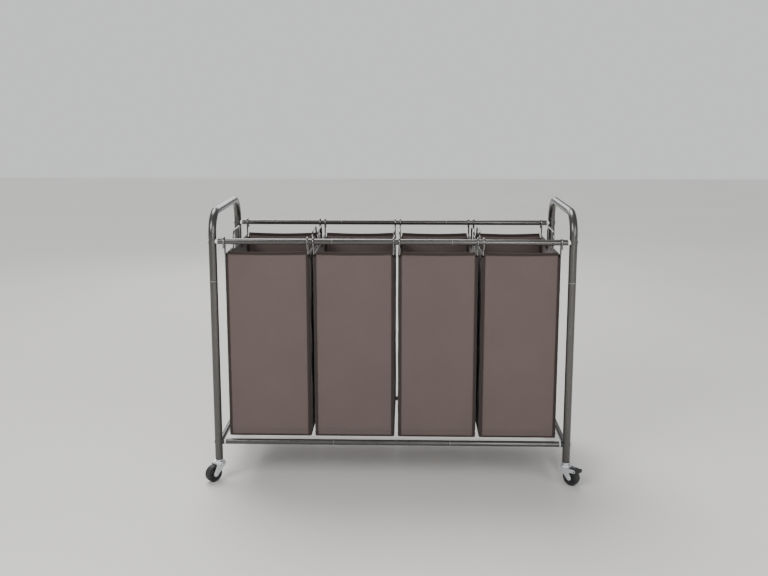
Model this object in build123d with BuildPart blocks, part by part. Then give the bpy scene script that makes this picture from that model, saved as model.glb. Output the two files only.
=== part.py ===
"""Rolling laundry sorter: a tube frame on four casters that holds four lift-off fabric bags.

Frame: origin on the floor under the middle of the frame, +X to the right along the rails,
+Y to the back and +Z up. All sizes are in millimetres.
"""

import os

from build123d import *

# ---- Frame ----
LEG_SPACING_X = 990.0  # leg centre to leg centre, along the rails
LEG_SPACING_Y = 378.0  # leg centre to leg centre, front to back
LEG_RADIUS = 11.0
LEG_WALL = 1.2
LEG_BOTTOM_Z = 64.0
HOOP_SEAM_Z = 582.0  # where the handle hoop meets the lower legs
HOOP_TOP_Z = 772.0  # centre line of the handle's top bar
HOOP_BEND_RADIUS = 63.0
CROSSBAR_Z = 104.0
CROSSBAR_RADIUS = 8.0
CROSSBAR_WALL = 1.0

# ---- Rails ----
RAIL_RADIUS = 8.0
RAIL_WALL = 1.0
TOP_RAIL_Z = 694.0
BOTTOM_RAIL_Z = 115.0
TOP_RAIL_HALF_LENGTH = 480.0
BOTTOM_RAIL_HALF_LENGTH = 474.0
RAIL_JOINT_X = 165.0  # the two joints of each rail are this far from the middle

# ---- Joiners, plugs, bolts and spacers ----
INSERT_GAP = 0.05  # radial gap of a piece that is pushed into a tube
JOINER_WALL = 1.4
LEG_JOINER_LENGTH = 80.0
RAIL_JOINER_LENGTH = 60.0
PLUG_LENGTH = 22.0
BOLT_RADIUS = 3.0
BOLT_HOLE_RADIUS = 3.2
BOLT_HEAD_RADIUS = 5.6
BOLT_HEAD_HEIGHT = 3.2
BOLT_REACH = 18.0  # how far the bolt runs into the rail's end plug
SPACER_RADIUS = 7.5
WASHER_THICKNESS = 4.0

# ---- Casters ----
WHEEL_RADIUS = 24.0
TREAD_WIDTH = 19.0
HUB_WIDTH = 22.0
HUB_RADIUS = 9.0
TRAIL = 20.0  # swivel axis to wheel axle
AXLE_RADIUS = 3.0
AXLE_HEAD_RADIUS = 4.8
RUNNING_GAP = 0.06  # radial gap of everything that turns on a pin
FORK_GAP = 24.0
FORK_PLATE = 2.0
FORK_TOP_Z = 51.6
FORK_TOP_RADIUS = 17.0
FORK_TIP_RADIUS = 7.0
RACE_RADIUS = 15.0
RACE_TOP_Z = 54.0
CUP_BOTTOM_Z = 54.4
CUP_TOP_Z = 57.6
COLLAR_RADIUS = 9.0
COLLAR_TOP_Z = 61.6
KINGPIN_RADIUS = 4.0
KINGPIN_HEAD_RADIUS = 6.0
STEM_RADIUS = 5.0
STEM_TOP_Z = 95.0
SOCKET_TOP_Z = 100.0
BRAKE_PIVOT_X = 36.0
BRAKE_PIVOT_Z = 46.5
BRAKE_BARREL_RADIUS = 3.2
BRAKE_PIN_RADIUS = 2.0
PEDAL_LENGTH = 11.0
PEDAL_LIP = 9.0

# ---- Bags ----
HUNG_WIDTHS = (236.0, 227.0, 221.0, 218.0)  # outside width of each bag as it hangs, left to right
BAG_GAP = 10.0
BAG_DEPTH = 348.0
BAG_CORNER_RADIUS = 12.0
BAG_WALL = 2.5
BAG_FLARE = 1.5  # how much further out each side stands at the base than at the top
BAG_BOTTOM_Z = 127.0
BAG_TOP_Z = 664.0  # hem of the front and back panels
BOARD_THICKNESS = 3.0
BOARD_GAP = 2.0  # from the board's edge to the bag's wall

# ---- Hanger wires ----
WIRE_RADIUS = 2.4
WIRE_INSET = 3.0  # from the outer face of a bag's side to the hanger wire
HOOK_GAP = 0.4  # between the wire and the rail that it hangs on
HEM_WIRE_Z = 652.0
HANDLE_TOP_Z = 703.0
HANDLE_HALF_WIDTH = 55.0
HANDLE_BEND_RADIUS = 22.0
WIRE_BEND_RADIUS = 9.0
HOOK_TIP_Z = 676.0
SLEEVE_WIDTH = 9.0
SLEEVE_HEIGHT = 12.0
SLEEVE_INNER_Y = 66.0
SLEEVE_OUTER_Y = 164.0
NOTCH_DEPTH_X = 10.0

LEG_X = LEG_SPACING_X / 2
LEG_Y = LEG_SPACING_Y / 2
SADDLE_END_X = LEG_X - LEG_RADIUS / 2  # how far out the saddles wrap round the legs
SIDES = {"left": -1, "right": 1}
ROWS = {"front": -1, "back": 1}
BRAKED = ("front_right", "back_left")
RAIL_LEVELS = {
    "top": (TOP_RAIL_Z, TOP_RAIL_HALF_LENGTH),
    "bottom": (BOTTOM_RAIL_Z, BOTTOM_RAIL_HALF_LENGTH),
}


def write(piece, name):
    """Label a finished piece and write it to its own STEP file."""
    piece.part.label = name
    export_step(piece.part, f"parts/{name}.step")


def crosswise(x, y, z):
    """A plane whose normal runs along +X, with its first axis along +Y."""
    return Plane(origin=(x, y, z), x_dir=(0, 1, 0), z_dir=(1, 0, 0))


def ring(outer_radius, inner_radius):
    """The section of a round tube, for the sketch that is open."""
    Circle(outer_radius)
    Circle(inner_radius, mode=Mode.SUBTRACT)


# ---- Frame tubes ----


def handle_hoop(side):
    """An inverted U of tube: two upper legs and the bar that is pushed or lifted by."""
    x = SIDES[side] * LEG_X
    with BuildPart() as hoop:
        with BuildLine() as path:
            FilletPolyline(
                (x, -LEG_Y, HOOP_SEAM_Z),
                (x, -LEG_Y, HOOP_TOP_Z),
                (x, LEG_Y, HOOP_TOP_Z),
                (x, LEG_Y, HOOP_SEAM_Z),
                radius=HOOP_BEND_RADIUS,
            )
        with BuildSketch(Plane(origin=(x, -LEG_Y, HOOP_SEAM_Z), z_dir=(0, 0, 1))):
            ring(LEG_RADIUS, LEG_RADIUS - LEG_WALL)
        sweep(path=path.line)
        with BuildSketch(crosswise(x - LEG_RADIUS - 1, 0, TOP_RAIL_Z)):
            with Locations((-LEG_Y, 0), (LEG_Y, 0)):
                Circle(BOLT_HOLE_RADIUS)
        extrude(amount=2 * LEG_RADIUS + 2, mode=Mode.SUBTRACT)
    write(hoop, f"{side}_handle_hoop")


def lower_leg(row, side):
    """A straight tube from the hoop's seam down to the caster, drilled for the rail bolt."""
    x, y = SIDES[side] * LEG_X, ROWS[row] * LEG_Y
    with BuildPart() as leg:
        with BuildSketch(Plane(origin=(x, y, LEG_BOTTOM_Z), z_dir=(0, 0, 1))):
            ring(LEG_RADIUS, LEG_RADIUS - LEG_WALL)
        extrude(amount=HOOP_SEAM_Z - LEG_BOTTOM_Z)
        with BuildSketch(crosswise(x - LEG_RADIUS - 1, y, BOTTOM_RAIL_Z)):
            Circle(BOLT_HOLE_RADIUS)
        extrude(amount=2 * LEG_RADIUS + 2, mode=Mode.SUBTRACT)
    write(leg, f"{row}_{side}_leg")


def crossbar(side):
    """A tube between the two legs of one side, its ends coped to the round legs."""
    x = SIDES[side] * LEG_X
    with BuildPart() as bar:
        with BuildSketch(Plane(origin=(x, -LEG_Y, CROSSBAR_Z), z_dir=(0, 1, 0))):
            ring(CROSSBAR_RADIUS, CROSSBAR_RADIUS - CROSSBAR_WALL)
        extrude(amount=LEG_SPACING_Y)
        with BuildSketch(Plane.XY.offset(CROSSBAR_Z - 2 * CROSSBAR_RADIUS)):
            with Locations((x, -LEG_Y), (x, LEG_Y)):
                Circle(LEG_RADIUS + INSERT_GAP)
        extrude(amount=4 * CROSSBAR_RADIUS, mode=Mode.SUBTRACT)
    write(bar, f"{side}_crossbar")


def rail_section(level, row, name, start_x, end_x):
    """One of the three tubes that are joined end to end to make a rail."""
    z = RAIL_LEVELS[level][0]
    with BuildPart() as rail:
        with BuildSketch(crosswise(start_x, ROWS[row] * LEG_Y, z)):
            ring(RAIL_RADIUS, RAIL_RADIUS - RAIL_WALL)
        extrude(amount=end_x - start_x)
    write(rail, f"{level}_{row}_rail_{name}")


def tube_joiners():
    """Short inner tubes that hold the frame's tubes together end to end."""
    leg_radius = LEG_RADIUS - LEG_WALL - INSERT_GAP
    rail_radius = RAIL_RADIUS - RAIL_WALL - INSERT_GAP
    with BuildPart() as joiners:
        with BuildSketch(Plane.XY.offset(HOOP_SEAM_Z - LEG_JOINER_LENGTH / 2)):
            with GridLocations(LEG_SPACING_X, LEG_SPACING_Y, 2, 2):
                ring(leg_radius, leg_radius - JOINER_WALL)
        extrude(amount=LEG_JOINER_LENGTH)
        for joint_x in (-RAIL_JOINT_X, RAIL_JOINT_X):
            for rail_z in (TOP_RAIL_Z, BOTTOM_RAIL_Z):
                with BuildSketch(crosswise(joint_x - RAIL_JOINER_LENGTH / 2, 0, rail_z)):
                    with Locations((-LEG_Y, 0), (LEG_Y, 0)):
                        ring(rail_radius, rail_radius - JOINER_WALL)
                extrude(amount=RAIL_JOINER_LENGTH)
    write(joiners, "tube_joiners")


# ---- Rail ends ----


def rail_ends():
    """Every rail end as its height, the distance of its face from the middle, and its side."""
    return [(z, half, sign) for z, half in RAIL_LEVELS.values() for sign in (-1, 1)]


def outward(sign, distance, z):
    """A plane at a rail end whose normal points away from the middle of the frame."""
    return Plane(origin=(sign * distance, 0, z), x_dir=(0, 1, 0), z_dir=(sign, 0, 0))


def rail_end_plugs():
    """Threaded plugs that are pressed into the ends of the rails."""
    with BuildPart() as plugs:
        for z, half_length, sign in rail_ends():
            with BuildSketch(outward(sign, half_length - PLUG_LENGTH, z)):
                with Locations((-LEG_Y, 0), (LEG_Y, 0)):
                    ring(RAIL_RADIUS - RAIL_WALL - INSERT_GAP, BOLT_RADIUS + INSERT_GAP)
            extrude(amount=PLUG_LENGTH)
    write(plugs, "rail_end_plugs")


def rail_bolts():
    """Button-head bolts that pass through a leg and a spacer into a rail's end plug."""
    with BuildPart() as bolts:
        for z, half_length, sign in rail_ends():
            shank_start = half_length - BOLT_REACH
            with BuildSketch(outward(sign, shank_start, z)):
                with Locations((-LEG_Y, 0), (LEG_Y, 0)):
                    Circle(BOLT_RADIUS)
            extrude(amount=LEG_X + LEG_RADIUS - shank_start)
            with BuildSketch(outward(sign, LEG_X + LEG_RADIUS, z)):
                with Locations((-LEG_Y, 0), (LEG_Y, 0)):
                    Circle(BOLT_HEAD_RADIUS)
            extrude(amount=BOLT_HEAD_HEIGHT)
        head_faces = bolts.faces().sort_by(Axis.X)
        head_faces = head_faces[:4] + head_faces[-4:]
        fillet(head_faces.edges(), radius=BOLT_HEAD_HEIGHT * 0.7)
    write(bolts, "rail_bolts")


def nylon_spacers():
    """Pale spacers: saddles at the top rails, plain washers at the bottom rails."""
    with BuildPart() as spacers:
        for sign in (-1, 1):
            with BuildSketch(outward(sign, TOP_RAIL_HALF_LENGTH, TOP_RAIL_Z)):
                with Locations((-LEG_Y, 0), (LEG_Y, 0)):
                    ring(SPACER_RADIUS, BOLT_HOLE_RADIUS)
            extrude(amount=SADDLE_END_X - TOP_RAIL_HALF_LENGTH)
            with BuildSketch(outward(sign, BOTTOM_RAIL_HALF_LENGTH, BOTTOM_RAIL_Z)):
                with Locations((-LEG_Y, 0), (LEG_Y, 0)):
                    ring(SPACER_RADIUS - 1, BOLT_HOLE_RADIUS)
            extrude(amount=WASHER_THICKNESS)
        with BuildSketch(Plane.XY.offset(TOP_RAIL_Z - LEG_RADIUS)):
            with GridLocations(LEG_SPACING_X, LEG_SPACING_Y, 2, 2):
                Circle(LEG_RADIUS + INSERT_GAP)
        extrude(amount=2 * LEG_RADIUS, mode=Mode.SUBTRACT)
    write(spacers, "nylon_spacers")


def lower_saddles():
    """Dark saddles between the legs and the washers of the bottom rails."""
    first_x = BOTTOM_RAIL_HALF_LENGTH + WASHER_THICKNESS
    with BuildPart() as saddles:
        for sign in (-1, 1):
            with BuildSketch(outward(sign, first_x, BOTTOM_RAIL_Z)):
                with Locations((-LEG_Y, 0), (LEG_Y, 0)):
                    ring(RAIL_RADIUS, BOLT_HOLE_RADIUS)
            extrude(amount=SADDLE_END_X - first_x)
        with BuildSketch(Plane.XY.offset(BOTTOM_RAIL_Z - LEG_RADIUS)):
            with GridLocations(LEG_SPACING_X, LEG_SPACING_Y, 2, 2):
                Circle(LEG_RADIUS + INSERT_GAP)
        extrude(amount=2 * LEG_RADIUS, mode=Mode.SUBTRACT)
    write(saddles, "lower_saddles")


# ---- Casters ----


def caster_base(row, side):
    """The caster's own plane: on the floor under the leg, its first axis along the trail."""
    x, y = SIDES[side], ROWS[row]
    return Plane(origin=(x * LEG_X, y * LEG_Y, 0), x_dir=(x, y, 0), z_dir=(0, 0, 1))


def upright(base, offset):
    """A plane along the trail and up, which stands that far along the axle."""
    normal = -base.y_dir
    return Plane(origin=base.origin + normal * offset, x_dir=base.x_dir, z_dir=normal)


def caster_sockets():
    """Plugs in the leg ends that grip the caster stems."""
    with BuildPart() as sockets:
        with BuildSketch(Plane.XY.offset(LEG_BOTTOM_Z)):
            with GridLocations(LEG_SPACING_X, LEG_SPACING_Y, 2, 2):
                ring(LEG_RADIUS - LEG_WALL - INSERT_GAP, STEM_RADIUS + INSERT_GAP)
        extrude(amount=SOCKET_TOP_Z - LEG_BOTTOM_Z)
        with BuildSketch(Plane.XY.offset(COLLAR_TOP_Z)):
            with GridLocations(LEG_SPACING_X, LEG_SPACING_Y, 2, 2):
                ring(LEG_RADIUS, STEM_RADIUS + INSERT_GAP)
        extrude(amount=LEG_BOTTOM_Z - COLLAR_TOP_Z)
        rims = sockets.faces().sort_by(Axis.Z)[:4].edges().filter_by(GeomType.CIRCLE)
        fillet(rims.filter_by(lambda e: e.radius > STEM_RADIUS + 1), radius=1.2)
    write(sockets, "caster_sockets")


def caster_stem(row, side):
    """Stem, collar, upper race cup and kingpin, which stay still in the leg."""
    base = caster_base(row, side)
    head_top = FORK_TOP_Z - FORK_PLATE - 0.3
    steps = [
        (head_top - 2.0, KINGPIN_HEAD_RADIUS, 2.0),
        (head_top, KINGPIN_RADIUS, CUP_BOTTOM_Z - head_top),
        (CUP_BOTTOM_Z, FORK_TOP_RADIUS, CUP_TOP_Z - CUP_BOTTOM_Z),
        (CUP_TOP_Z, COLLAR_RADIUS, COLLAR_TOP_Z - CUP_TOP_Z),
        (COLLAR_TOP_Z, STEM_RADIUS, STEM_TOP_Z - COLLAR_TOP_Z),
    ]
    with BuildPart() as stem:
        for z, radius, height in steps:
            with BuildSketch(base.offset(z)):
                Circle(radius)
            extrude(amount=height)
        cup_edges = stem.edges().filter_by(GeomType.CIRCLE)
        cup_rim = cup_edges.filter_by(lambda e: e.radius == FORK_TOP_RADIUS).sort_by(Axis.Z)[-1]
        fillet(cup_rim, radius=2.4)
        chamfer(stem.edges().sort_by(Axis.Z)[-1], length=1.0)
    write(stem, f"{row}_{side}_caster_stem")


def caster_fork(row, side):
    """Pressed yoke: a round top plate with its race, and two tapered cheeks."""
    base = caster_base(row, side)
    braked = f"{row}_{side}" in BRAKED
    with BuildPart() as fork:
        with BuildSketch(base.offset(FORK_TOP_Z - FORK_PLATE)):
            Circle(FORK_TOP_RADIUS)
            Rectangle(2 * FORK_TOP_RADIUS - 4, FORK_GAP + 2 * FORK_PLATE)
        extrude(amount=FORK_PLATE)
        with BuildSketch(base.offset(FORK_TOP_Z)):
            Circle(RACE_RADIUS)
        extrude(amount=RACE_TOP_Z - FORK_TOP_Z)
        for face_y in (-FORK_GAP / 2 - FORK_PLATE, FORK_GAP / 2):
            with BuildSketch(upright(base, face_y)):
                with Locations((TRAIL, WHEEL_RADIUS)):
                    Circle(FORK_TIP_RADIUS)
                with Locations((0, FORK_TOP_Z - FORK_PLATE / 2)):
                    Rectangle(2 * FORK_TOP_RADIUS - 4, FORK_PLATE)
                make_hull()
                if braked:
                    with BuildSketch(mode=Mode.ADD):
                        with Locations((BRAKE_PIVOT_X, BRAKE_PIVOT_Z)):
                            Circle(BRAKE_PIN_RADIUS + 2.4)
                        with Locations((TRAIL - 10, FORK_TOP_Z - 6)):
                            Rectangle(8, 12)
                        make_hull()
            extrude(amount=FORK_PLATE)
        with BuildSketch(base.offset(FORK_TOP_Z - FORK_PLATE)):
            Circle(KINGPIN_RADIUS + RUNNING_GAP)
        extrude(amount=RACE_TOP_Z - FORK_TOP_Z + FORK_PLATE, mode=Mode.SUBTRACT)
        with BuildSketch(upright(base, -FORK_GAP)):
            with Locations((TRAIL, WHEEL_RADIUS)):
                Circle(AXLE_RADIUS + INSERT_GAP)
            if braked:
                with Locations((BRAKE_PIVOT_X, BRAKE_PIVOT_Z)):
                    Circle(BRAKE_PIN_RADIUS + RUNNING_GAP)
        extrude(amount=2 * FORK_GAP, mode=Mode.SUBTRACT)
    write(fork, f"{row}_{side}_caster_fork")


def caster_wheel(row, side):
    """Moulded wheel with a crowned tread, dished sides and a hub bore."""
    base = caster_base(row, side)
    half_tread, half_hub = TREAD_WIDTH / 2, HUB_WIDTH / 2
    centre = base.origin + base.x_dir * TRAIL + base.z_dir * WHEEL_RADIUS
    section = Plane(origin=centre, x_dir=base.z_dir, z_dir=-base.x_dir)
    axle_line = Axis(centre, section.y_dir)
    with BuildPart() as wheel:
        with BuildSketch(section):
            with BuildLine():
                Polyline(
                    (AXLE_RADIUS + RUNNING_GAP, -half_hub),
                    (HUB_RADIUS - 1, -half_hub),
                    (HUB_RADIUS, -half_hub + 3),
                    (WHEEL_RADIUS - 6, -half_hub + 4),
                    (WHEEL_RADIUS - 5, -half_tread),
                    (WHEEL_RADIUS - 2, -half_tread),
                )
                ThreePointArc(
                    (WHEEL_RADIUS - 2, -half_tread), (WHEEL_RADIUS, 0), (WHEEL_RADIUS - 2, half_tread)
                )
                Polyline(
                    (WHEEL_RADIUS - 2, half_tread),
                    (WHEEL_RADIUS - 5, half_tread),
                    (WHEEL_RADIUS - 6, half_hub - 4),
                    (HUB_RADIUS, half_hub - 3),
                    (HUB_RADIUS - 1, half_hub),
                    (AXLE_RADIUS + RUNNING_GAP, half_hub),
                    (AXLE_RADIUS + RUNNING_GAP, -half_hub),
                )
            make_face()
        revolve(axis=axle_line)
    write(wheel, f"{row}_{side}_caster_wheel")


def caster_axle(row, side):
    """Rivet through both cheeks of the fork and the wheel."""
    base = caster_base(row, side)
    half_length = FORK_GAP / 2 + FORK_PLATE
    with BuildPart() as axle:
        with BuildSketch(upright(base, -half_length)):
            with Locations((TRAIL, WHEEL_RADIUS)):
                Circle(AXLE_RADIUS)
        extrude(amount=2 * half_length)
        for face_y in (-half_length - 1.6, half_length):
            with BuildSketch(upright(base, face_y)):
                with Locations((TRAIL, WHEEL_RADIUS)):
                    Circle(AXLE_HEAD_RADIUS)
            extrude(amount=1.6)
    write(axle, f"{row}_{side}_caster_axle")


def brake_lever(row, side):
    """Pedal on a cross barrel, with a shoe that is pushed down onto the tread."""
    base = caster_base(row, side)
    half_barrel = FORK_GAP / 2 - 0.5
    half_pin = FORK_GAP / 2 + FORK_PLATE
    pedal_end = BRAKE_PIVOT_X + PEDAL_LENGTH
    pedal_top = BRAKE_PIVOT_Z + BRAKE_BARREL_RADIUS + 2
    with BuildPart() as lever:
        with BuildSketch(upright(base, -half_barrel)):
            with Locations((BRAKE_PIVOT_X, BRAKE_PIVOT_Z)):
                Circle(BRAKE_BARREL_RADIUS)
            with BuildLine():
                Polyline(
                    (BRAKE_PIVOT_X, BRAKE_PIVOT_Z + BRAKE_BARREL_RADIUS),
                    (pedal_end, pedal_top),
                    (pedal_end, pedal_top - PEDAL_LIP),
                    (pedal_end - 3, pedal_top - PEDAL_LIP),
                    (BRAKE_PIVOT_X + 3, BRAKE_PIVOT_Z - 1),
                    (BRAKE_PIVOT_X, BRAKE_PIVOT_Z),
                    close=True,
                )
            make_face()
            with BuildLine():
                Polyline(
                    (BRAKE_PIVOT_X, BRAKE_PIVOT_Z + BRAKE_BARREL_RADIUS),
                    (BRAKE_PIVOT_X - 8, BRAKE_PIVOT_Z + 5),
                    (BRAKE_PIVOT_X - 9, BRAKE_PIVOT_Z + 2.5),
                    (BRAKE_PIVOT_X - 2, BRAKE_PIVOT_Z - 2),
                    (BRAKE_PIVOT_X, BRAKE_PIVOT_Z),
                    close=True,
                )
            make_face()
        extrude(amount=2 * half_barrel)
        with BuildSketch(upright(base, -half_pin)):
            with Locations((BRAKE_PIVOT_X, BRAKE_PIVOT_Z)):
                Circle(BRAKE_PIN_RADIUS)
        extrude(amount=2 * half_pin)
    write(lever, f"{row}_{side}_brake_lever")


# ---- Bags ----


def bag_centre_x(number):
    """Where the middle of a bag is, the first bag being the leftmost."""
    row_width = sum(HUNG_WIDTHS) + BAG_GAP * (len(HUNG_WIDTHS) - 1)
    before = sum(HUNG_WIDTHS[: number - 1]) + BAG_GAP * (number - 1)
    return before + HUNG_WIDTHS[number - 1] / 2 - row_width / 2


def wire_offset(number):
    """How far a bag's hanger wires are from its middle."""
    return HUNG_WIDTHS[number - 1] / 2 - WIRE_INSET


def bag_section(width, z, inset):
    """The rounded outline of a bag at one height, for the sketch that is open."""
    drop = (BAG_TOP_Z - z) / (BAG_TOP_Z - BAG_BOTTOM_Z)
    grow = 2 * (BAG_FLARE * drop - inset)
    RectangleRounded(width + grow, BAG_DEPTH + grow, BAG_CORNER_RADIUS - inset)


def bag_shell(number):
    """Open-topped bag with two wire sleeves along each side hem."""
    x, width = bag_centre_x(number), HUNG_WIDTHS[number - 1]
    wire_x = wire_offset(number)
    sleeve_y = (SLEEVE_INNER_Y + SLEEVE_OUTER_Y) / 2
    sleeve_top = HEM_WIRE_Z + SLEEVE_HEIGHT / 2
    end_notch = LEG_Y - SLEEVE_OUTER_Y
    with BuildPart() as bag:
        for z in (BAG_BOTTOM_Z, BAG_TOP_Z):
            with BuildSketch(Plane(origin=(x, 0, z))):
                bag_section(width, z, 0)
        loft()
        for z in (BAG_BOTTOM_Z + BAG_WALL, BAG_TOP_Z):
            with BuildSketch(Plane(origin=(x, 0, z))):
                bag_section(width, z, BAG_WALL)
        loft(mode=Mode.SUBTRACT)
        with BuildSketch(Plane(origin=(x, 0, sleeve_top))):
            with Locations((-wire_x, 0), (wire_x, 0)):
                Rectangle(2 * NOTCH_DEPTH_X, LEG_SPACING_Y)
        extrude(amount=SLEEVE_HEIGHT, mode=Mode.SUBTRACT)
        with BuildSketch(Plane(origin=(x, 0, sleeve_top - SLEEVE_HEIGHT))):
            with GridLocations(2 * wire_x, 2 * sleeve_y, 2, 2):
                Rectangle(SLEEVE_WIDTH, SLEEVE_OUTER_Y - SLEEVE_INNER_Y)
        extrude(amount=SLEEVE_HEIGHT)
        with BuildSketch(Plane(origin=(x, 0, sleeve_top - SLEEVE_HEIGHT))):
            with Locations((-wire_x, 0), (wire_x, 0)):
                Rectangle(2 * NOTCH_DEPTH_X, 2 * SLEEVE_INNER_Y)
            with GridLocations(2 * wire_x, 2 * SLEEVE_OUTER_Y + end_notch, 2, 2):
                Rectangle(2 * NOTCH_DEPTH_X, end_notch)
        extrude(amount=BAG_TOP_Z - sleeve_top + SLEEVE_HEIGHT, mode=Mode.SUBTRACT)
        with BuildSketch(Plane(origin=(x, -LEG_Y, HEM_WIRE_Z), x_dir=(1, 0, 0), z_dir=(0, 1, 0))):
            with Locations((-wire_x, 0), (wire_x, 0)):
                Circle(WIRE_RADIUS + INSERT_GAP)
        extrude(amount=LEG_SPACING_Y, mode=Mode.SUBTRACT)
    write(bag, f"bag_{number}_shell")


def base_board(number):
    """Stiff board that lies in the bottom of a bag."""
    x = bag_centre_x(number)
    edge = 2 * (BAG_WALL + BOARD_GAP)
    with BuildPart() as board:
        with BuildSketch(Plane(origin=(x, 0, BAG_BOTTOM_Z + BAG_WALL))):
            RectangleRounded(HUNG_WIDTHS[number - 1] - edge, BAG_DEPTH - edge, BAG_CORNER_RADIUS)
        extrude(amount=BOARD_THICKNESS)
    write(board, f"bag_{number}_base_board")


def hanger_wire(number, side):
    """A wire with a hook at each end, two runs in the hem and a raised grip between them."""
    x = bag_centre_x(number) + SIDES[side] * wire_offset(number)
    hook_radius = RAIL_RADIUS + HOOK_GAP + WIRE_RADIUS
    inner_y, outer_y = LEG_Y - hook_radius, LEG_Y + hook_radius
    hook_top = TOP_RAIL_Z + hook_radius
    with BuildPart() as wire:
        with BuildLine() as path:
            FilletPolyline(
                (x, -inner_y, TOP_RAIL_Z),
                (x, -inner_y, HEM_WIRE_Z),
                (x, -HANDLE_HALF_WIDTH, HEM_WIRE_Z),
                (x, -HANDLE_HALF_WIDTH, HANDLE_TOP_Z),
                (x, HANDLE_HALF_WIDTH, HANDLE_TOP_Z),
                (x, HANDLE_HALF_WIDTH, HEM_WIRE_Z),
                (x, inner_y, HEM_WIRE_Z),
                (x, inner_y, TOP_RAIL_Z),
                radius=[
                    WIRE_BEND_RADIUS,
                    WIRE_BEND_RADIUS,
                    HANDLE_BEND_RADIUS,
                    HANDLE_BEND_RADIUS,
                    WIRE_BEND_RADIUS,
                    WIRE_BEND_RADIUS,
                ],
            )
            for sign in (-1, 1):
                ThreePointArc(
                    (x, sign * inner_y, TOP_RAIL_Z),
                    (x, sign * LEG_Y, hook_top),
                    (x, sign * outer_y, TOP_RAIL_Z),
                )
                Line((x, sign * outer_y, TOP_RAIL_Z), (x, sign * outer_y, HOOK_TIP_Z))
        with BuildSketch(Plane(origin=(x, -outer_y, HOOK_TIP_Z), z_dir=(0, 0, 1))):
            Circle(WIRE_RADIUS)
        sweep(path=path.wire())
    write(wire, f"bag_{number}_{side}_hanger_wire")


def main():
    """Build every piece of the sorter."""
    os.makedirs("parts", exist_ok=True)
    for side in SIDES:
        handle_hoop(side)
        crossbar(side)
        for row in ROWS:
            lower_leg(row, side)
            caster_stem(row, side)
            caster_fork(row, side)
            caster_wheel(row, side)
            caster_axle(row, side)
    for level, (_, half_length) in RAIL_LEVELS.items():
        for row in ROWS:
            rail_section(level, row, "left", -half_length, -RAIL_JOINT_X)
            rail_section(level, row, "middle", -RAIL_JOINT_X, RAIL_JOINT_X)
            rail_section(level, row, "right", RAIL_JOINT_X, half_length)
    tube_joiners()
    rail_end_plugs()
    rail_bolts()
    nylon_spacers()
    lower_saddles()
    caster_sockets()
    for corner in BRAKED:
        brake_lever(*corner.split("_"))
    for number in range(1, len(HUNG_WIDTHS) + 1):
        bag_shell(number)
        base_board(number)
        for side in SIDES:
            hanger_wire(number, side)


main()
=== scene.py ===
"""Looks of the rolling laundry sorter: painted tube frame, zinc casters and four hung cloth bags.

Everything is in metres in the frame's own axes: origin on the floor under the middle,
+X to the right along the rails, +Y to the back and +Z up.
"""

import functools
import math

import bmesh
import bpy
from mathutils import Matrix, Vector, noise


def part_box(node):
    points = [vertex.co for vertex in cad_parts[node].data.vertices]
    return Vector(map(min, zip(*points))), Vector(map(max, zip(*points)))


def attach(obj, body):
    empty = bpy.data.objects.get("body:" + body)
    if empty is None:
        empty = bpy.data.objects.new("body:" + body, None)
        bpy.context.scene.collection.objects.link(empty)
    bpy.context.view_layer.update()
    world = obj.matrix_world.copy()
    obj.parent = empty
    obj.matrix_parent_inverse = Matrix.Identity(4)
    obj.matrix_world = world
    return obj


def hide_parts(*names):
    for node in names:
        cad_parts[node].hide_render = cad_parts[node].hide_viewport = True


bl_info = {
    "name": "Rolling Laundry Sorter",
    "version": (1, 0, 0),
    "blender": (4, 5, 0),
    "location": "3D View > Sidebar > Sorter",
    "description": "Builds the finishes and soft goods of a four-bag rolling laundry sorter",
    "category": "Object",
}

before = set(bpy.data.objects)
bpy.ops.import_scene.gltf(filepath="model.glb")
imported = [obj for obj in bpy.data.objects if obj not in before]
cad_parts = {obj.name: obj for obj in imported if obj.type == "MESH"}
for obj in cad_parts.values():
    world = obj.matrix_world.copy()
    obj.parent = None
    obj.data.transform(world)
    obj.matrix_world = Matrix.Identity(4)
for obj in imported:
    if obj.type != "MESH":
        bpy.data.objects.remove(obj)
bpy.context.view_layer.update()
CORNERS = ("front_left", "front_right", "back_left", "back_right")
BRAKED = ("front_right", "back_left")
BAGS = (1, 2, 3, 4)

# How far the settling cloth may move in, out and in any direction
SETTLE_IN, SETTLE_OUT, SETTLE_ANY = 0.005, 0.0006, 0.012
# The hem wire's middle above its node's lowest point, and the runs in the hem beside the grip
WIRE_MIDDLE = 0.0024
HEM_RUNS = ((-0.1635, -0.0665), (0.0665, 0.1635))
# Below this much edge angle, a turned or bolted shape is shaded smooth
SMOOTH_ANGLE = math.radians(38)


# ---- Settings ----


def colour_setting(name, description, default):
    return bpy.props.FloatVectorProperty(
        name=name, description=description, default=default, subtype="COLOR", size=3, min=0, max=1
    )


def length_setting(name, description, default):
    return bpy.props.FloatProperty(
        name=name, description=description, default=default, min=0, unit="LENGTH", precision=5
    )


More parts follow.
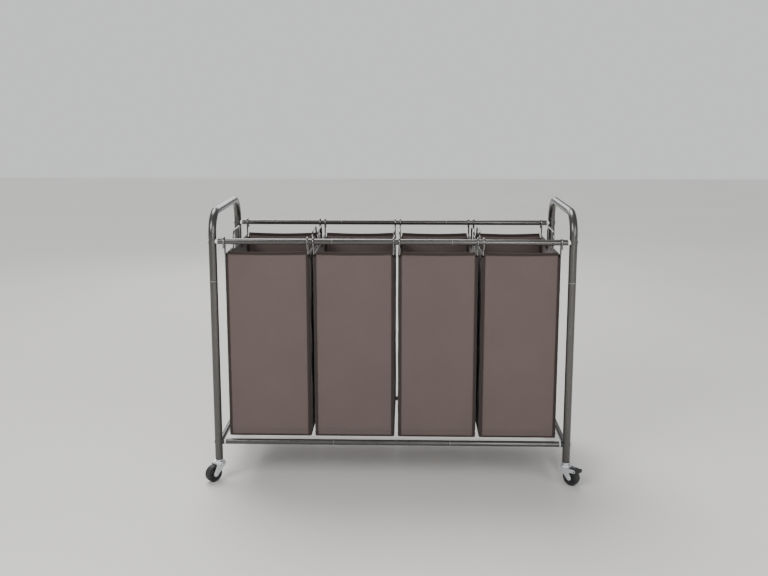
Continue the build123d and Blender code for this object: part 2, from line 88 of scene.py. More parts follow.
class SorterClothSettings(bpy.types.PropertyGroup):
    """Sizes and colours of the bags."""

    cloth_colour: colour_setting("Cloth", "Body cloth of the bags", (0.119, 0.0893, 0.0818))
    tape_colour: colour_setting("Binding", "Woven tape that binds the edges", (0.030, 0.0205, 0.0178))
    thread_colour: colour_setting("Thread", "Sewing thread", (0.060, 0.046, 0.042))
    cloth_thickness: length_setting("Cloth thickness", "Thickness of the body cloth", 0.001)
    tape_thickness: length_setting("Binding thickness", "Thickness of a folded binding", 0.0026)
    corner_radius: length_setting("Corner radius", "Radius of the sewn upright corners", 0.006)
    corner_tape: length_setting("Corner binding", "Width of the binding beside each corner", 0.0085)
    hem_tape: length_setting("Hem binding", "Height of the binding round the mouth", 0.0095)
    weave_pitch: length_setting("Weave pitch", "Distance from one thread to the next", 0.0009)
    stitch_pitch: length_setting("Stitch pitch", "Distance from one stitch to the next", 0.0055)
    sag: length_setting("Sag", "How far the front and back panels hang in at their middle", 0.0035)
    belly: length_setting("Belly", "How far a side panel stands out at its middle", 0.0042)
    frames: bpy.props.IntProperty(
        name="Settling steps", description="Steps of the cloth simulation", default=26, min=0, max=80
    )


class SorterFrameSettings(bpy.types.PropertyGroup):
    """Finishes of the frame and its small parts."""

    paint_colour: colour_setting("Paint", "Metallic paint of the tubes", (0.100, 0.096, 0.091))
    wire_colour: colour_setting("Wire", "Plated hanger wires", (0.190, 0.185, 0.180))
    zinc_colour: colour_setting("Zinc", "Plated casters and bolts", (0.700, 0.735, 0.775))
    nylon_colour: colour_setting("Nylon", "Pale spacers at the rail ends", (0.800, 0.790, 0.760))
    plastic_colour: colour_setting("Plastic", "Black plastic and rubber", (0.016, 0.016, 0.017))
    edge_bevel: length_setting("Edge break", "Rounding of pressed and moulded edges", 0.0004)
    ring_ratio: bpy.props.FloatProperty(
        name="Seam ring",
        description="Thickness of a tube's seam ring over its radius",
        default=0.045,
        min=0.01,
        max=0.2,
    )
    hub_ribs: bpy.props.IntProperty(
        name="Hub ribs", description="Ribs on each side of a wheel", default=6, min=3, max=16
    )


class SorterStageSettings(bpy.types.PropertyGroup):
    """Floor, light and camera."""

    floor_colour: colour_setting("Floor", "Plain pale floor", (0.640, 0.625, 0.600))
    light_level: bpy.props.FloatProperty(
        name="Light", description="Strength of every soft light", default=1.0, min=0, max=10
    )
    camera_place: bpy.props.FloatVectorProperty(
        name="Camera", description="Where the camera stands", default=(0.0374, -2.6102, 1.0963), unit="LENGTH"
    )
    camera_pitch: bpy.props.FloatProperty(
        name="Pitch", description="How far the camera looks down", default=math.radians(9.43), unit="ROTATION"
    )
    camera_yaw: bpy.props.FloatProperty(
        name="Yaw",
        description="How far the camera looks to the right",
        default=math.radians(-1.41),
        unit="ROTATION",
    )
    lens: bpy.props.FloatProperty(name="Lens", description="Focal length in millimetres", default=41.97, min=10)
    shift: bpy.props.FloatProperty(name="Shift", description="Vertical shift of the lens", default=-0.06)


# ---- Making and handing over pieces ----


def new_piece(name, mesh):
    """An object at the origin whose place is in its mesh."""
    piece = bpy.data.objects.new(name, mesh)
    bpy.context.scene.collection.objects.link(piece)
    return piece


def mesh_from(name, points, faces, edges=()):
    mesh = bpy.data.meshes.new(name)
    mesh.from_pydata([tuple(p) for p in points], list(edges), list(faces))
    mesh.update()
    return mesh


def grid_faces(rows, wide, closed=False):
    """Quads between equal rows of points. A closed grid also joins each row's two ends."""
    faces = []
    for row in range(rows - 1):
        low, up = row * wide, (row + 1) * wide
        for column in range(wide if closed else wide - 1):
            beside = (column + 1) % wide
            faces.append((low + column, low + beside, up + beside, up + column))
    return faces


def finish_piece(piece, body, material, replaced=()):
    """Gives a piece its finish, and hands it to the body that it moves with."""
    if material is not None:
        piece.data.materials.clear()
        piece.data.materials.append(material)
    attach(piece, body)
    if replaced:
        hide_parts(*replaced)


def coat_node(node, material):
    """Puts a finish on a CAD node that stays as it is."""
    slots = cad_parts[node].material_slots
    if not slots:
        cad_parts[node].data.materials.append(material)
    for held in slots:
        held.link = "OBJECT"
        held.material = material


@functools.lru_cache(maxsize=None)
def node_box(node):
    """Lowest and highest corners of a CAD node, as plain numbers worked out once."""
    low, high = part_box(node)
    return tuple(low), tuple(high)


def corners_of(node):
    low, high = node_box(node)
    return Vector(low), Vector(high)


def middle(node):
    low, high = corners_of(node)
    return (low + high) / 2


def caster_ways(corner):
    """The way in which a caster trails from its stem, and the way of its axle."""
    trail = Vector((-1 if "left" in corner else 1, -1 if "front" in corner else 1, 0)).normalized()
    return trail, Vector((-trail.y, trail.x, 0))


def softened_copy(name, node, width):
    """A copy of a CAD node with its loose triangles joined and its edges broken."""
    mesh = bpy.data.meshes.new(name)
    work = bmesh.new()
    work.from_mesh(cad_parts[node].data)
    bmesh.ops.remove_doubles(work, verts=work.verts, dist=2e-6)
    bmesh.ops.dissolve_limit(work, angle_limit=math.radians(0.6), verts=work.verts, edges=work.edges)
    work.to_mesh(mesh)
    work.free()
    mesh.shade_smooth()
    piece = new_piece(name, mesh)
    bevel = piece.modifiers.new("Edge break", "BEVEL")
    bevel.width = width
    bevel.segments = 2
    bevel.limit_method = "ANGLE"
    bevel.angle_limit = math.radians(32)
    bevel.harden_normals = True
    return piece


def turned(name, outline, centre, axis, steps=64, hexagon=()):
    """A closed shape turned round an axis. The outline holds (radius, distance along the axis)
    pairs; those listed in hexagon are drawn to six flats."""
    axis = axis.normalized()
    across = axis.orthogonal().normalized()
    upright = axis.cross(across)
    points, faces = [], []
    for index, (radius, along) in enumerate(outline):
        for step in range(steps):
            angle = math.tau * step / steps
            reach = radius
            if index in hexagon:
                past_flat = (angle + math.pi / 6) % (math.pi / 3) - math.pi / 6
                reach = radius * math.cos(math.pi / 6) / math.cos(past_flat)
            points.append(
                centre + axis * along + (across * math.cos(angle) + upright * math.sin(angle)) * reach
            )
    rows = len(outline)
    for row in range(rows):
        following = (row + 1) % rows
        for step in range(steps):
            beside = (step + 1) % steps
            faces.append(
                (row * steps + step, row * steps + beside, following * steps + beside, following * steps + step)
            )
    mesh = mesh_from(name, points, faces)
    work = bmesh.new()
    work.from_mesh(mesh)
    bmesh.ops.remove_doubles(work, verts=work.verts, dist=1e-6)
    bmesh.ops.recalc_face_normals(work, faces=work.faces)
    work.to_mesh(mesh)
    work.free()
    mesh.shade_smooth()
    mesh.set_sharp_from_angle(angle=SMOOTH_ANGLE)
    return mesh


# ---- Growing repeated shapes with node trees ----


class Tree:
    """A geometry node tree with named inputs."""

    def __init__(self, name, inputs):
        self.group = bpy.data.node_groups.new(name, "GeometryNodeTree")
        face = self.group.interface
        face.new_socket("Geometry", in_out="INPUT", socket_type="NodeSocketGeometry")
        for label, kind, default in inputs:
            made = face.new_socket(label, in_out="INPUT", socket_type="NodeSocket" + kind)
            if default is not None:
                made.default_value = default
        face.new_socket("Geometry", in_out="OUTPUT", socket_type="NodeSocketGeometry")
        self.given = self.group.nodes.new("NodeGroupInput").outputs

    def add(self, kind, settings=None, **links):
        """Adds a node. Links are set by input name, as an output socket or as a plain value."""
        node = self.group.nodes.new(kind)
        for key, value in (settings or {}).items():
            setattr(node, key, value)
        for key, value in links.items():
            wanted = key.replace("_", " ").lower()
            socket = next(s for s in node.inputs if s.enabled and s.name.lower() == wanted)
            if isinstance(value, bpy.types.NodeSocket):
                self.group.links.new(value, socket)
            else:
                socket.default_value = value
        return node

    def at_points(self, shape, scale=None):
        """Puts a shape at each input point, turned to the point's axis attribute, and ends the tree."""
        axis = self.add("GeometryNodeInputNamedAttribute", {"data_type": "FLOAT_VECTOR"}, Name="axis")
        turn = self.add("FunctionNodeAlignRotationToVector", {"axis": "Z"}, Vector=axis.outputs[0])
        sized = {"Scale": scale} if scale else {}
        placed = self.add(
            "GeometryNodeInstanceOnPoints",
            Points=self.given["Geometry"],
            Instance=shape,
            Rotation=turn.outputs[0],
            **sized,
        )
        return self.end(placed.outputs[0])

    def end(self, geometry):
        """Realizes the instances, sets the material and closes the tree."""
        real = self.add("GeometryNodeRealizeInstances", Geometry=geometry)
        painted = self.add("GeometryNodeSetMaterial", Geometry=real.outputs[0], Material=self.given["Finish"])
        out = self.group.nodes.new("NodeGroupOutput")
        self.group.links.new(painted.outputs[0], out.inputs[0])
        return self.group


def grow(piece, tree, values, smooth=True):
    """Runs a tree on a piece with the given input values, and keeps the result as a plain mesh."""
    held = piece.modifiers.new("Grow", "NODES")
    held.node_group = tree
    for item in tree.interface.items_tree:
        if item.item_type == "SOCKET" and item.in_out == "INPUT" and item.name in values:
            held[item.identifier] = values[item.name]
    graph = bpy.context.evaluated_depsgraph_get()
    mesh = bpy.data.meshes.new_from_object(piece.evaluated_get(graph), depsgraph=graph)
    piece.modifiers.remove(held)
    if not mesh.polygons:
        raise RuntimeError(f"{piece.name} grew no faces")
    piece.data = mesh
    mesh.name = piece.name
    if smooth:
        mesh.shade_smooth()
    return piece


def beads_tree():
    """Rounded beads in a row along the edges of the input: stitches or weld ripples."""
    tree = Tree(
        "Beads along edges",
        [
            ("Pitch", "Float", 0.005),
            ("Length", "Float", 0.004),
            ("Width", "Float", 0.0007),
            ("Finish", "Material", None),
        ],
    )
    path = tree.add("GeometryNodeMeshToCurve", Mesh=tree.given["Geometry"])
    even = tree.add(
        "GeometryNodeResampleCurve", {"mode": "LENGTH"}, Curve=path.outputs[0], Length=tree.given["Pitch"]
    )
    bead = tree.add("GeometryNodeMeshUVSphere", Segments=6, Rings=5, Radius=0.5)
    shape = tree.add("ShaderNodeCombineXYZ", X=tree.given["Width"], Y=tree.given["Width"], Z=tree.given["Length"])
    along = tree.add("GeometryNodeInputTangent")
    turn = tree.add("FunctionNodeAlignRotationToVector", {"axis": "Z"}, Vector=along.outputs[0])
    placed = tree.add(
        "GeometryNodeInstanceOnPoints",
        Points=even.outputs[0],
        Instance=bead.outputs[0],
        Rotation=turn.outputs[0],
        Scale=shape.outputs[0],
    )
    return tree.end(placed.outputs[0])


def rings_tree():
    """A thin ring round each input point, across its axis attribute and as wide as its reach."""
    tree = Tree("Rings at points", [("Ratio", "Float", 0.04), ("Finish", "Material", None)])
    circle = tree.add("GeometryNodeCurvePrimitiveCircle", Resolution=48, Radius=1.0)
    wire = tree.add("GeometryNodeCurvePrimitiveCircle", Resolution=8, Radius=tree.given["Ratio"])
    ring = tree.add("GeometryNodeCurveToMesh", Curve=circle.outputs[0], Profile_Curve=wire.outputs[0])
    reach = tree.add("GeometryNodeInputNamedAttribute", {"data_type": "FLOAT"}, Name="reach")
    return tree.at_points(ring.outputs[0], reach.outputs[0])


def copies_tree():
    """The pattern object's shape, copied to each input point and turned to its axis."""
    tree = Tree("Copies at points", [("Pattern", "Object", None), ("Finish", "Material", None)])
    shape = tree.add("GeometryNodeObjectInfo", Object=tree.given["Pattern"])
    return tree.at_points(shape.outputs["Geometry"])


def ribs_tree():
    """Tapered ribs round a hub whose middle is the input's one point and whose axle is its axis."""
    tree = Tree(
        "Ribs round a hub",
        [
            ("Ribs", "Int", 6),
            ("Inner", "Float", 0.009),
            ("Outer", "Float", 0.0175),
            ("Depth", "Float", 0.014),
            ("Width", "Float", 0.002),
            ("Finish", "Material", None),
        ],
    )
    span = tree.add("ShaderNodeMath", {"operation": "SUBTRACT"})
    tree.group.links.new(tree.given["Outer"], span.inputs[0])
    tree.group.links.new(tree.given["Inner"], span.inputs[1])
    mean = tree.add("ShaderNodeMath", {"operation": "MULTIPLY_ADD"})
    tree.group.links.new(span.outputs[0], mean.inputs[0])
    mean.inputs[1].default_value = 0.5
    tree.group.links.new(tree.given["Inner"], mean.inputs[2])
    size = tree.add("ShaderNodeCombineXYZ", X=span.outputs[0], Y=tree.given["Width"], Z=tree.given["Depth"])
    bar = tree.add("GeometryNodeMeshCube", Size=size.outputs[0])
    bar.inputs["Vertices X"].default_value = 3
    wheel = tree.add("GeometryNodeMeshCircle", Vertices=tree.given["Ribs"], Radius=mean.outputs[0])
    place = tree.add("GeometryNodeInputPosition")
    turn = tree.add("FunctionNodeAlignRotationToVector", {"axis": "X"}, Vector=place.outputs[0])
    spokes = tree.add(
        "GeometryNodeInstanceOnPoints", Points=wheel.outputs[0], Instance=bar.outputs[0], Rotation=turn.outputs[0]
    )
    return tree.at_points(spokes.outputs[0])


def guide_points(name, rows):
    """Loose points that carry an axis and a reach, for a tree to work on."""
    mesh = mesh_from(name, [place for place, axis, reach in rows], [])
    mesh.attributes.new("axis", "FLOAT_VECTOR", "POINT")
    mesh.attributes.new("reach", "FLOAT", "POINT")
    for index, (place, axis, reach) in enumerate(rows):
        mesh.attributes["axis"].data[index].vector = axis
        mesh.attributes["reach"].data[index].value = reach
    return new_piece(name, mesh)


# ---- Finishes ----


class Finish:
    """A node material on the principled shader, read from object coordinates or a UV map."""

    def __init__(self, name, **constants):
        self.material = bpy.data.materials.new(name)
        self.material.use_nodes = True
        self.nodes = self.material.node_tree.nodes
        self.links = self.material.node_tree.links
        self.shader = self.nodes["Principled BSDF"]
        for key, value in constants.items():
            self.shader.inputs[key.replace("_", " ")].default_value = value
        self.place = self.nodes.new("ShaderNodeTexCoord").outputs["Object"]

    def add(self, kind, settings=None, inputs=()):
        node = self.nodes.new(kind)
        for key, value in (settings or {}).items():
            setattr(node, key, value)
        for key, value in dict(inputs).items():
            self.put(node.inputs[key], value)
        return node

    def put(self, socket, value):
        if isinstance(value, bpy.types.NodeSocket):
            self.links.new(value, socket)
        else:
            socket.default_value = value

    def noise(self, scale, detail=2.0, roughness=0.5, place=None):
        made = self.add(
            "ShaderNodeTexNoise",
            inputs={"Vector": place or self.place, "Scale": scale, "Detail": detail, "Roughness": roughness},
        )
        return made.outputs["Fac"]

    def spread(self, value, low, high, out_low, out_high):
        made = self.add(
            "ShaderNodeMapRange",
            inputs={"Value": value, "From Min": low, "From Max": high, "To Min": out_low, "To Max": out_high},
        )
        return made.outputs["Result"]

    def math(self, operation, first, second=0.0):
        return self.add("ShaderNodeMath", {"operation": operation}, {0: first, 1: second}).outputs[0]

    def mixed(self, factor, first, second):
        """A colour between two colours, each a triple or a socket."""
        made = self.add("ShaderNodeMix", {"data_type": "RGBA"})
        self.put(made.inputs["Factor"], factor)
        for socket, value in ((made.inputs[6], first), (made.inputs[7], second)):
            self.put(socket, (*value, 1.0) if isinstance(value, (tuple, list)) else value)
        return made.outputs[2]

    def shades(self, value, low, high, base, dark, light):
        """One colour from a darker to a lighter shade as the value rises from low to high."""
        return self.mixed(self.spread(value, low, high, 0.0, 1.0), tinted(base, dark), tinted(base, light))

    def touched(self, colour, value, low, high, most, over):
        """A colour with another laid over it, at most so much, where the value is high."""
        return self.mixed(self.spread(value, low, high, 0.0, most), colour, over)

    def bump(self, height, distance, strength=1.0, under=None):
        made = self.add("ShaderNodeBump", inputs={"Height": height, "Distance": distance, "Strength": strength})
        if under is not None:
            self.put(made.inputs["Normal"], under)
        return made.outputs["Normal"]

    def done(self, colour, roughness, normal):
        """The finished material."""
        self.put(self.shader.inputs["Base Color"], colour)
        self.put(self.shader.inputs["Roughness"], roughness)
        self.put(self.shader.inputs["Normal"], normal)
        return self.material


def tinted(colour, factor):
    return tuple(min(1.0, c * factor) for c in colour)


def tube_paint(settings):
    """Gunmetal paint with a fine metal flake, faint orange peel and a few rubbed places."""
    made = Finish("tube_paint", Metallic=0.82, Coat_Weight=0.35, Coat_Roughness=0.16, Coat_IOR=1.45)
    base = tuple(settings.paint_colour)
    flake = made.noise(2600.0, 1.0)
    cloud = made.noise(9.0, 4.0, 0.6)
    rubbed = made.spread(made.noise(34.0, 6.0, 0.72), 0.66, 0.78, 0.0, 0.5)
    colour = made.shades(flake, 0.35, 0.68, base, 0.78, 1.30)
    colour = made.touched(colour, cloud, 0.3, 0.7, 0.35, tinted(base, 0.86))
    colour = made.mixed(rubbed, colour, tinted(base, 1.7))
    rough = made.math("ADD", made.spread(cloud, 0.3, 0.7, 0.24, 0.32), made.spread(flake, 0.3, 0.7, -0.02, 0.03))
    peel = made.bump(made.noise(420.0, 2.0), 0.00006)
    return made.done(colour, rough, made.bump(flake, 0.00002, 0.6, peel))


def bare_ring_metal(settings):
    """Bright cut edge of a tube, rubbed through its paint."""
    made = Finish("bare_ring_metal", Metallic=1.0)
    cloud = made.noise(160.0, 3.0)
    colour = made.mixed(made.spread(cloud, 0.35, 0.65, 0.0, 1.0), (0.42, 0.41, 0.40), (0.62, 0.61, 0.60))
    return made.done(colour, made.spread(cloud, 0.3, 0.7, 0.28, 0.42), made.bump(cloud, 0.00005))


def plated_wire(settings):
    """Dark bright plating with fine marks along the drawn wire."""
    made = Finish("plated_wire", Metallic=1.0, Coat_Weight=0.2, Coat_Roughness=0.08)
    base = tuple(settings.wire_colour)
    streak = made.noise(700.0, 2.0, 0.5)
    cloud = made.noise(40.0, 3.0)
    colour = made.shades(cloud, 0.3, 0.7, base, 0.8, 1.35)
    return made.done(colour, made.spread(streak, 0.3, 0.7, 0.12, 0.22), made.bump(streak, 0.00003))


def zinc_plate(settings):
    """Pale blue-white zinc with a soft crystal pattern and small scuffs."""
    made = Finish("zinc_plate", Metallic=1.0)
    base = tuple(settings.zinc_colour)
    crystal = made.add("ShaderNodeTexVoronoi", inputs={"Vector": made.place, "Scale": 260.0}).outputs["Color"]
    tone = made.add("ShaderNodeSeparateColor", inputs={"Color": crystal}).outputs[0]
    scuff = made.noise(900.0, 3.0, 0.6)
    colour = made.mixed(made.spread(tone, 0.0, 1.0, 0.0, 0.8), tinted(base, 0.82), tinted(base, 1.12))
    colour = made.touched(colour, scuff, 0.6, 0.75, 0.4, tinted(base, 0.55))
    return made.done(colour, made.spread(tone, 0.0, 1.0, 0.20, 0.34), made.bump(scuff, 0.00004))


def nylon(settings):
    """Pale moulded nylon, slightly clouded."""
    made = Finish("nylon", Subsurface_Weight=0.18, Subsurface_Scale=0.004, Specular_IOR_Level=0.5)
    base = tuple(settings.nylon_colour)
    cloud = made.noise(210.0, 4.0)
    colour = made.shades(cloud, 0.3, 0.7, base, 0.92, 1.05)
    return made.done(colour, made.spread(cloud, 0.3, 0.7, 0.38, 0.5), made.bump(made.noise(1500.0), 0.00004))


def black_plastic(settings, name="black_plastic", gloss=0.34):
    """Black moulded plastic with a fine spark grain."""
    made = Finish(name, Specular_IOR_Level=0.5)
    base = tuple(settings.plastic_colour)
    grain = made.add("ShaderNodeTexVoronoi", inputs={"Vector": made.place, "Scale": 2600.0}).outputs["Distance"]
    cloud = made.noise(60.0, 3.0)
    colour = made.shades(cloud, 0.3, 0.7, base, 0.75, 1.6)
    return made.done(colour, made.spread(cloud, 0.3, 0.7, gloss, gloss + 0.12), made.bump(grain, 0.00005, 0.7))


def tyre_rubber(settings):
    """Hard black tread, a little dusty."""
    made = Finish("tyre_rubber", Specular_IOR_Level=0.42)
    base = tuple(settings.plastic_colour)
    dust = made.spread(made.noise(120.0, 5.0, 0.65), 0.52, 0.74, 0.0, 0.35)
    fine = made.noise(1800.0, 2.0)
    colour = made.mixed(dust, tinted(base, 1.25), (0.11, 0.105, 0.10))
    return made.done(colour, made.spread(fine, 0.3, 0.7, 0.52, 0.66), made.bump(fine, 0.00008))


def woven_cloth(settings, name, base, fine=1.0, sheen=0.18):
    """Plain-weave cloth from the piece's own UV map, which is in metres along and up the cloth."""
    made = Finish(name, Sheen_Weight=sheen, Sheen_Roughness=0.45, Specular_IOR_Level=0.3)
    across = made.add("ShaderNodeUVMap", {"uv_map": "cloth"}).outputs["UV"]
    parts = made.add("ShaderNodeSeparateXYZ", inputs={"Vector": across})
    turns = math.pi / (settings.weave_pitch * fine)
    warp = made.math("SINE", made.math("MULTIPLY", parts.outputs["X"], turns))
    weft = made.math("SINE", made.math("MULTIPLY", parts.outputs["Y"], turns))
    over = made.math("MULTIPLY", warp, weft)
    thread = made.math("MAXIMUM", made.math("ABSOLUTE", warp), made.math("ABSOLUTE", weft))
    lift = made.math("ADD", made.math("MULTIPLY", over, 0.35), thread)
    slub = made.noise(300.0, 2.0, 0.5, made.add(
        "ShaderNodeMapping", {"vector_type": "POINT"}, {"Vector": across, "Scale": (0.18, 1.0, 1.0)}
    ).outputs["Vector"])
    cloud = made.noise(7.0, 3.0, 0.55)
    colour = made.shades(lift, 0.2, 1.35, base, 0.80, 1.12)
    colour = made.touched(colour, slub, 0.35, 0.7, 0.22, tinted(base, 1.35))
    colour = made.touched(colour, cloud, 0.35, 0.65, 0.30, tinted(base, 0.84))
    rough = made.spread(slub, 0.3, 0.7, 0.80, 0.92)
    return made.done(colour, rough, made.bump(lift, 0.00018 * fine, 0.8, made.bump(slub, 0.00025, 0.5)))


def ribbed_tape(settings):
    """Woven binding tape with fine ribs across it."""
    made = Finish("ribbed_tape", Sheen_Weight=0.15, Sheen_Roughness=0.5, Specular_IOR_Level=0.3)
    base = tuple(settings.tape_colour)
    across = made.add("ShaderNodeUVMap", {"uv_map": "cloth"}).outputs["UV"]
    parts = made.add("ShaderNodeSeparateXYZ", inputs={"Vector": across})
    both = made.math("ADD", parts.outputs["X"], parts.outputs["Y"])
    ribs = made.math("ABSOLUTE", made.math("SINE", made.math("MULTIPLY", both, math.pi / 0.0011)))
    fuzz = made.noise(900.0, 3.0, 0.6)
    colour = made.shades(ribs, 0.0, 1.0, base, 0.7, 1.25)
    colour = made.touched(colour, fuzz, 0.5, 0.75, 0.35, tinted(base, 1.8))
    return made.done(colour, made.spread(fuzz, 0.3, 0.7, 0.78, 0.9), made.bump(ribs, 0.00015, 0.8))


def twisted_thread(settings):
    """Sewing thread, slightly glossier than the cloth."""
    made = Finish("twisted_thread", Sheen_Weight=0.2, Specular_IOR_Level=0.4)
    base = tuple(settings.thread_colour)
    twist = made.noise(2400.0, 2.0)
    colour = made.shades(twist, 0.35, 0.65, base, 0.8, 1.3)
    return made.done(colour, made.spread(twist, 0.3, 0.7, 0.55, 0.7), made.bump(twist, 0.00006))


def pale_floor(settings):
    """Plain matt floor with only a breath of unevenness."""
    made = Finish("pale_floor", Specular_IOR_Level=0.3)
    base = tuple(settings.floor_colour)
    cloud = made.noise(1.3, 3.0)
    colour = made.shades(cloud, 0.3, 0.7, base, 0.985, 1.015)
    return made.done(colour, made.spread(cloud, 0.3, 0.7, 0.6, 0.7), made.bump(made.noise(90.0), 0.0001))


def material_of(label, maker, *facts, **named):
    """The finish of that name, made the first time that it is asked for."""
    return bpy.data.materials.get(label) or maker(*facts, **named)


# ---- The bags' cloth as a grid of columns round the bag and rows up it ----


def bag_box(number):
    """Middle along X, half width, half depth, bottom and top of a bag's cloth, at mid-thickness."""
    low, high = corners_of(f"bag_{number}_shell")
    wires = [middle(f"bag_{number}_{side}_hanger_wire").x for side in ("left", "right")]
    centre = sum(wires) / 2
    half_width = (wires[1] - wires[0]) / 2 + 0.0018
    half_depth = (high.y - low.y) / 2 - 0.0028
    return centre, half_width, half_depth, low.z + 0.0008, high.z


@functools.lru_cache(maxsize=None)
def columns(number, radius, tape_width):
    """Columns round a bag as (x, y, outward x, outward y, wall, share along the wall).
    Walls 0 to 3 are front, right, back and left; a corner column has no wall."""
    centre, half_width, half_depth = bag_box(number)[:3]
    border = tape_width - radius
    made = []
    for wall in range(4):
        turn = wall * math.pi / 2
        ahead = Vector((math.cos(turn), math.sin(turn)))
        out = Vector((math.sin(turn), -math.cos(turn)))
        half_run, reach = (half_width, half_depth) if wall % 2 == 0 else (half_depth, half_width)
        run = 2 * (half_run - radius)
        count = round((run - 2 * border) / 0.012)
        stops = [0.0] + [border + (run - 2 * border) * k / count for k in range(count + 1)] + [run]
        for stop in stops:
            spot = ahead * (stop - run / 2) + out * reach
            made.append((centre + spot.x, spot.y, out.x, out.y, wall, stop / run))
        pivot = ahead * (run / 2) + out * (reach - radius)
        for angle in (30, 60):
            lean = math.radians(angle)
            way = out * math.cos(lean) + ahead * math.sin(lean)
            spot = pivot + way * radius
            made.append((centre + spot.x, spot.y, way.x, way.y, None, 0.0))
    return made


def columns_of(number, settings):
    return columns(number, settings.corner_radius, settings.corner_tape)


def row_count(number, settings):
    return len(row_heights(*bag_box(number)[3:], settings))


def corner_starts(around):
    """The first of the two columns that round each corner."""
    return [k for k, column in enumerate(around) if column[4] is None][::2]


def rim_height(column, number, settings):
    """How high the cloth reaches in a column: full at the front and back, lower where the hem
    holds a wire, and lowest at the grips and the corners."""
    x, y, out_x, out_y, wall, share = column
    centre, half_width, half_depth, low, high = bag_box(number)
    hem_wire = corners_of(f"bag_{number}_left_hanger_wire")[0].z + WIRE_MIDDLE
    if wall in (0, 2):
        if abs(x - centre) > half_width - settings.corner_radius - 0.0005:
            return hem_wire - 0.0035
        return high - 0.0005 - 0.0025 * math.sin(math.pi * share)
    if wall is None:
        return hem_wire - 0.0035
    return hem_wire - (0.0005 if 0.066 < abs(y) < 0.164 else 0.0055)


def row_heights(low, high, settings):
    """Heights of the rows of cloth: the bottom seam's folds, even rows, and the hem's binding."""
    seam = [low, low + 0.0045, low + 0.0085, low + 0.0125, low + 0.0165]
    start, end = seam[-1], high - 0.03
    count = round((end - start) / 0.0115)
    even = [start + (end - start) * k / count for k in range(1, count + 1)]
    return seam + even + [high - 0.02, high - settings.hem_tape, high - settings.hem_tape / 2, high]


def hang(column, z, number, low, high, settings):
    """How far the cloth stands out of its flat wall at one place before it settles."""
    x, y, out_x, out_y, wall, share = column
    if wall is None:
        return 0.0
    rise = (z - low) / (high - low)
    side = math.sin(math.pi * share) ** 0.8
    deep = -settings.sag if wall % 2 == 0 else settings.belly
    belly = deep * side * (0.35 + 0.65 * math.sin(math.pi * min(1.0, rise * 1.05)))
    crease = -0.0016 * (1 - abs(2 * share - 1)) if wall % 2 == 0 else 0.0
    spot = Vector((x * 5.0 + number * 3.7, y * 5.0 + wall * 11.0, z * 3.2))
    ripple = (0.0022 if wall % 2 == 0 else 0.0008) * noise.noise(spot) * side
    pull = 0.0014 * noise.noise(Vector((share * 9.0 + number, wall * 5.0, z * 16.0))) * side * (1 - rise) ** 3
    lip = {0: 0.0, 1: -0.0006, 2: 0.0009, 3: -0.0009}
    step = {round(h, 5): k for k, h in enumerate(row_heights(low, high, settings)[:4])}
    fold = lip.get(step.get(round(z, 5), -1), 0.0)
    edge = min(1.0, max(0.0, (z - low - 0.012) / 0.05))
    return (belly + crease + ripple + pull) * edge + fold


def cloth_grid(number, settings):
    """Points of the wall cloth, row by row from the bottom, and the two counts."""
    around = columns_of(number, settings)
    low, high = bag_box(number)[3:]
    heights = row_heights(low, high, settings)
    ease_from = high - 0.03
    points = []
    for z in heights:
        for column in around:
            top = rim_height(column, number, settings)
            ease = max(0.0, (z - ease_from) / (high - ease_from))
            lifted = z + (top - high) * ease
            stand = hang(column, z, number, low, high, settings)
            points.append((column[0] + column[2] * stand, column[1] + column[3] * stand, lifted))
    return points, len(heights), len(around)


def along_lengths(number, settings):
    """Distance round the bag at each column, and the whole way round, for the UV map."""
    around = columns_of(number, settings)
    total, marks = 0.0, []
    for index, column in enumerate(around):
        marks.append(total)
        following = around[(index + 1) % len(around)]
        total += math.dist(column[:2], following[:2])
    return marks + [total]


def draw_uv(mesh, spot_of):
    """Fills the cloth UV map, in metres, from a function of (face, corner)."""
    layer = mesh.uv_layers.new(name="cloth")
    for face in mesh.polygons:
        for loop in face.loop_indices:
            layer.data[loop].uv = spot_of(face, mesh.loops[loop].vertex_index)


def settle(pieces, settings):
    """Lets the hung cloth settle under its weight, then limits how far any point has moved."""
    for piece in pieces:
        cloth = piece.modifiers.new("Settle", "CLOTH")
        cloth.settings.vertex_group_mass = "held"
        cloth.settings.quality = 6
        cloth.settings.mass = 0.22
        cloth.settings.tension_stiffness = 45
        cloth.settings.compression_stiffness = 45
        cloth.settings.shear_stiffness = 18
        cloth.settings.bending_stiffness = 1.6
        cloth.settings.air_damping = 2.0
        cloth.settings.shrink_min = -0.0022
        cloth.collision_settings.use_self_collision = False
        cloth.collision_settings.use_collision = False
        cloth.point_cache.frame_start = 1
        cloth.point_cache.frame_end = settings.frames
    scene = bpy.context.scene
    scene.frame_end = settings.frames
    for step in range(1, settings.frames + 1):
        scene.frame_set(step)
    graph = bpy.context.evaluated_depsgraph_get()
    for piece in pieces:
        moved = [v.co.copy() for v in piece.evaluated_get(graph).data.vertices]
        piece.modifiers.remove(piece.modifiers["Settle"])
        out = [v.normal.copy() for v in piece.data.vertices]
        for v in piece.data.vertices:
            shift = moved[v.index] - v.co
            outwards = shift.dot(out[v.index])
            limited = max(-SETTLE_IN, min(SETTLE_OUT, outwards))
            shift += out[v.index] * (limited - outwards)
            v.co += shift if shift.length < SETTLE_ANY else shift * (SETTLE_ANY / shift.length)
        piece.data.update()
    scene.frame_set(1)


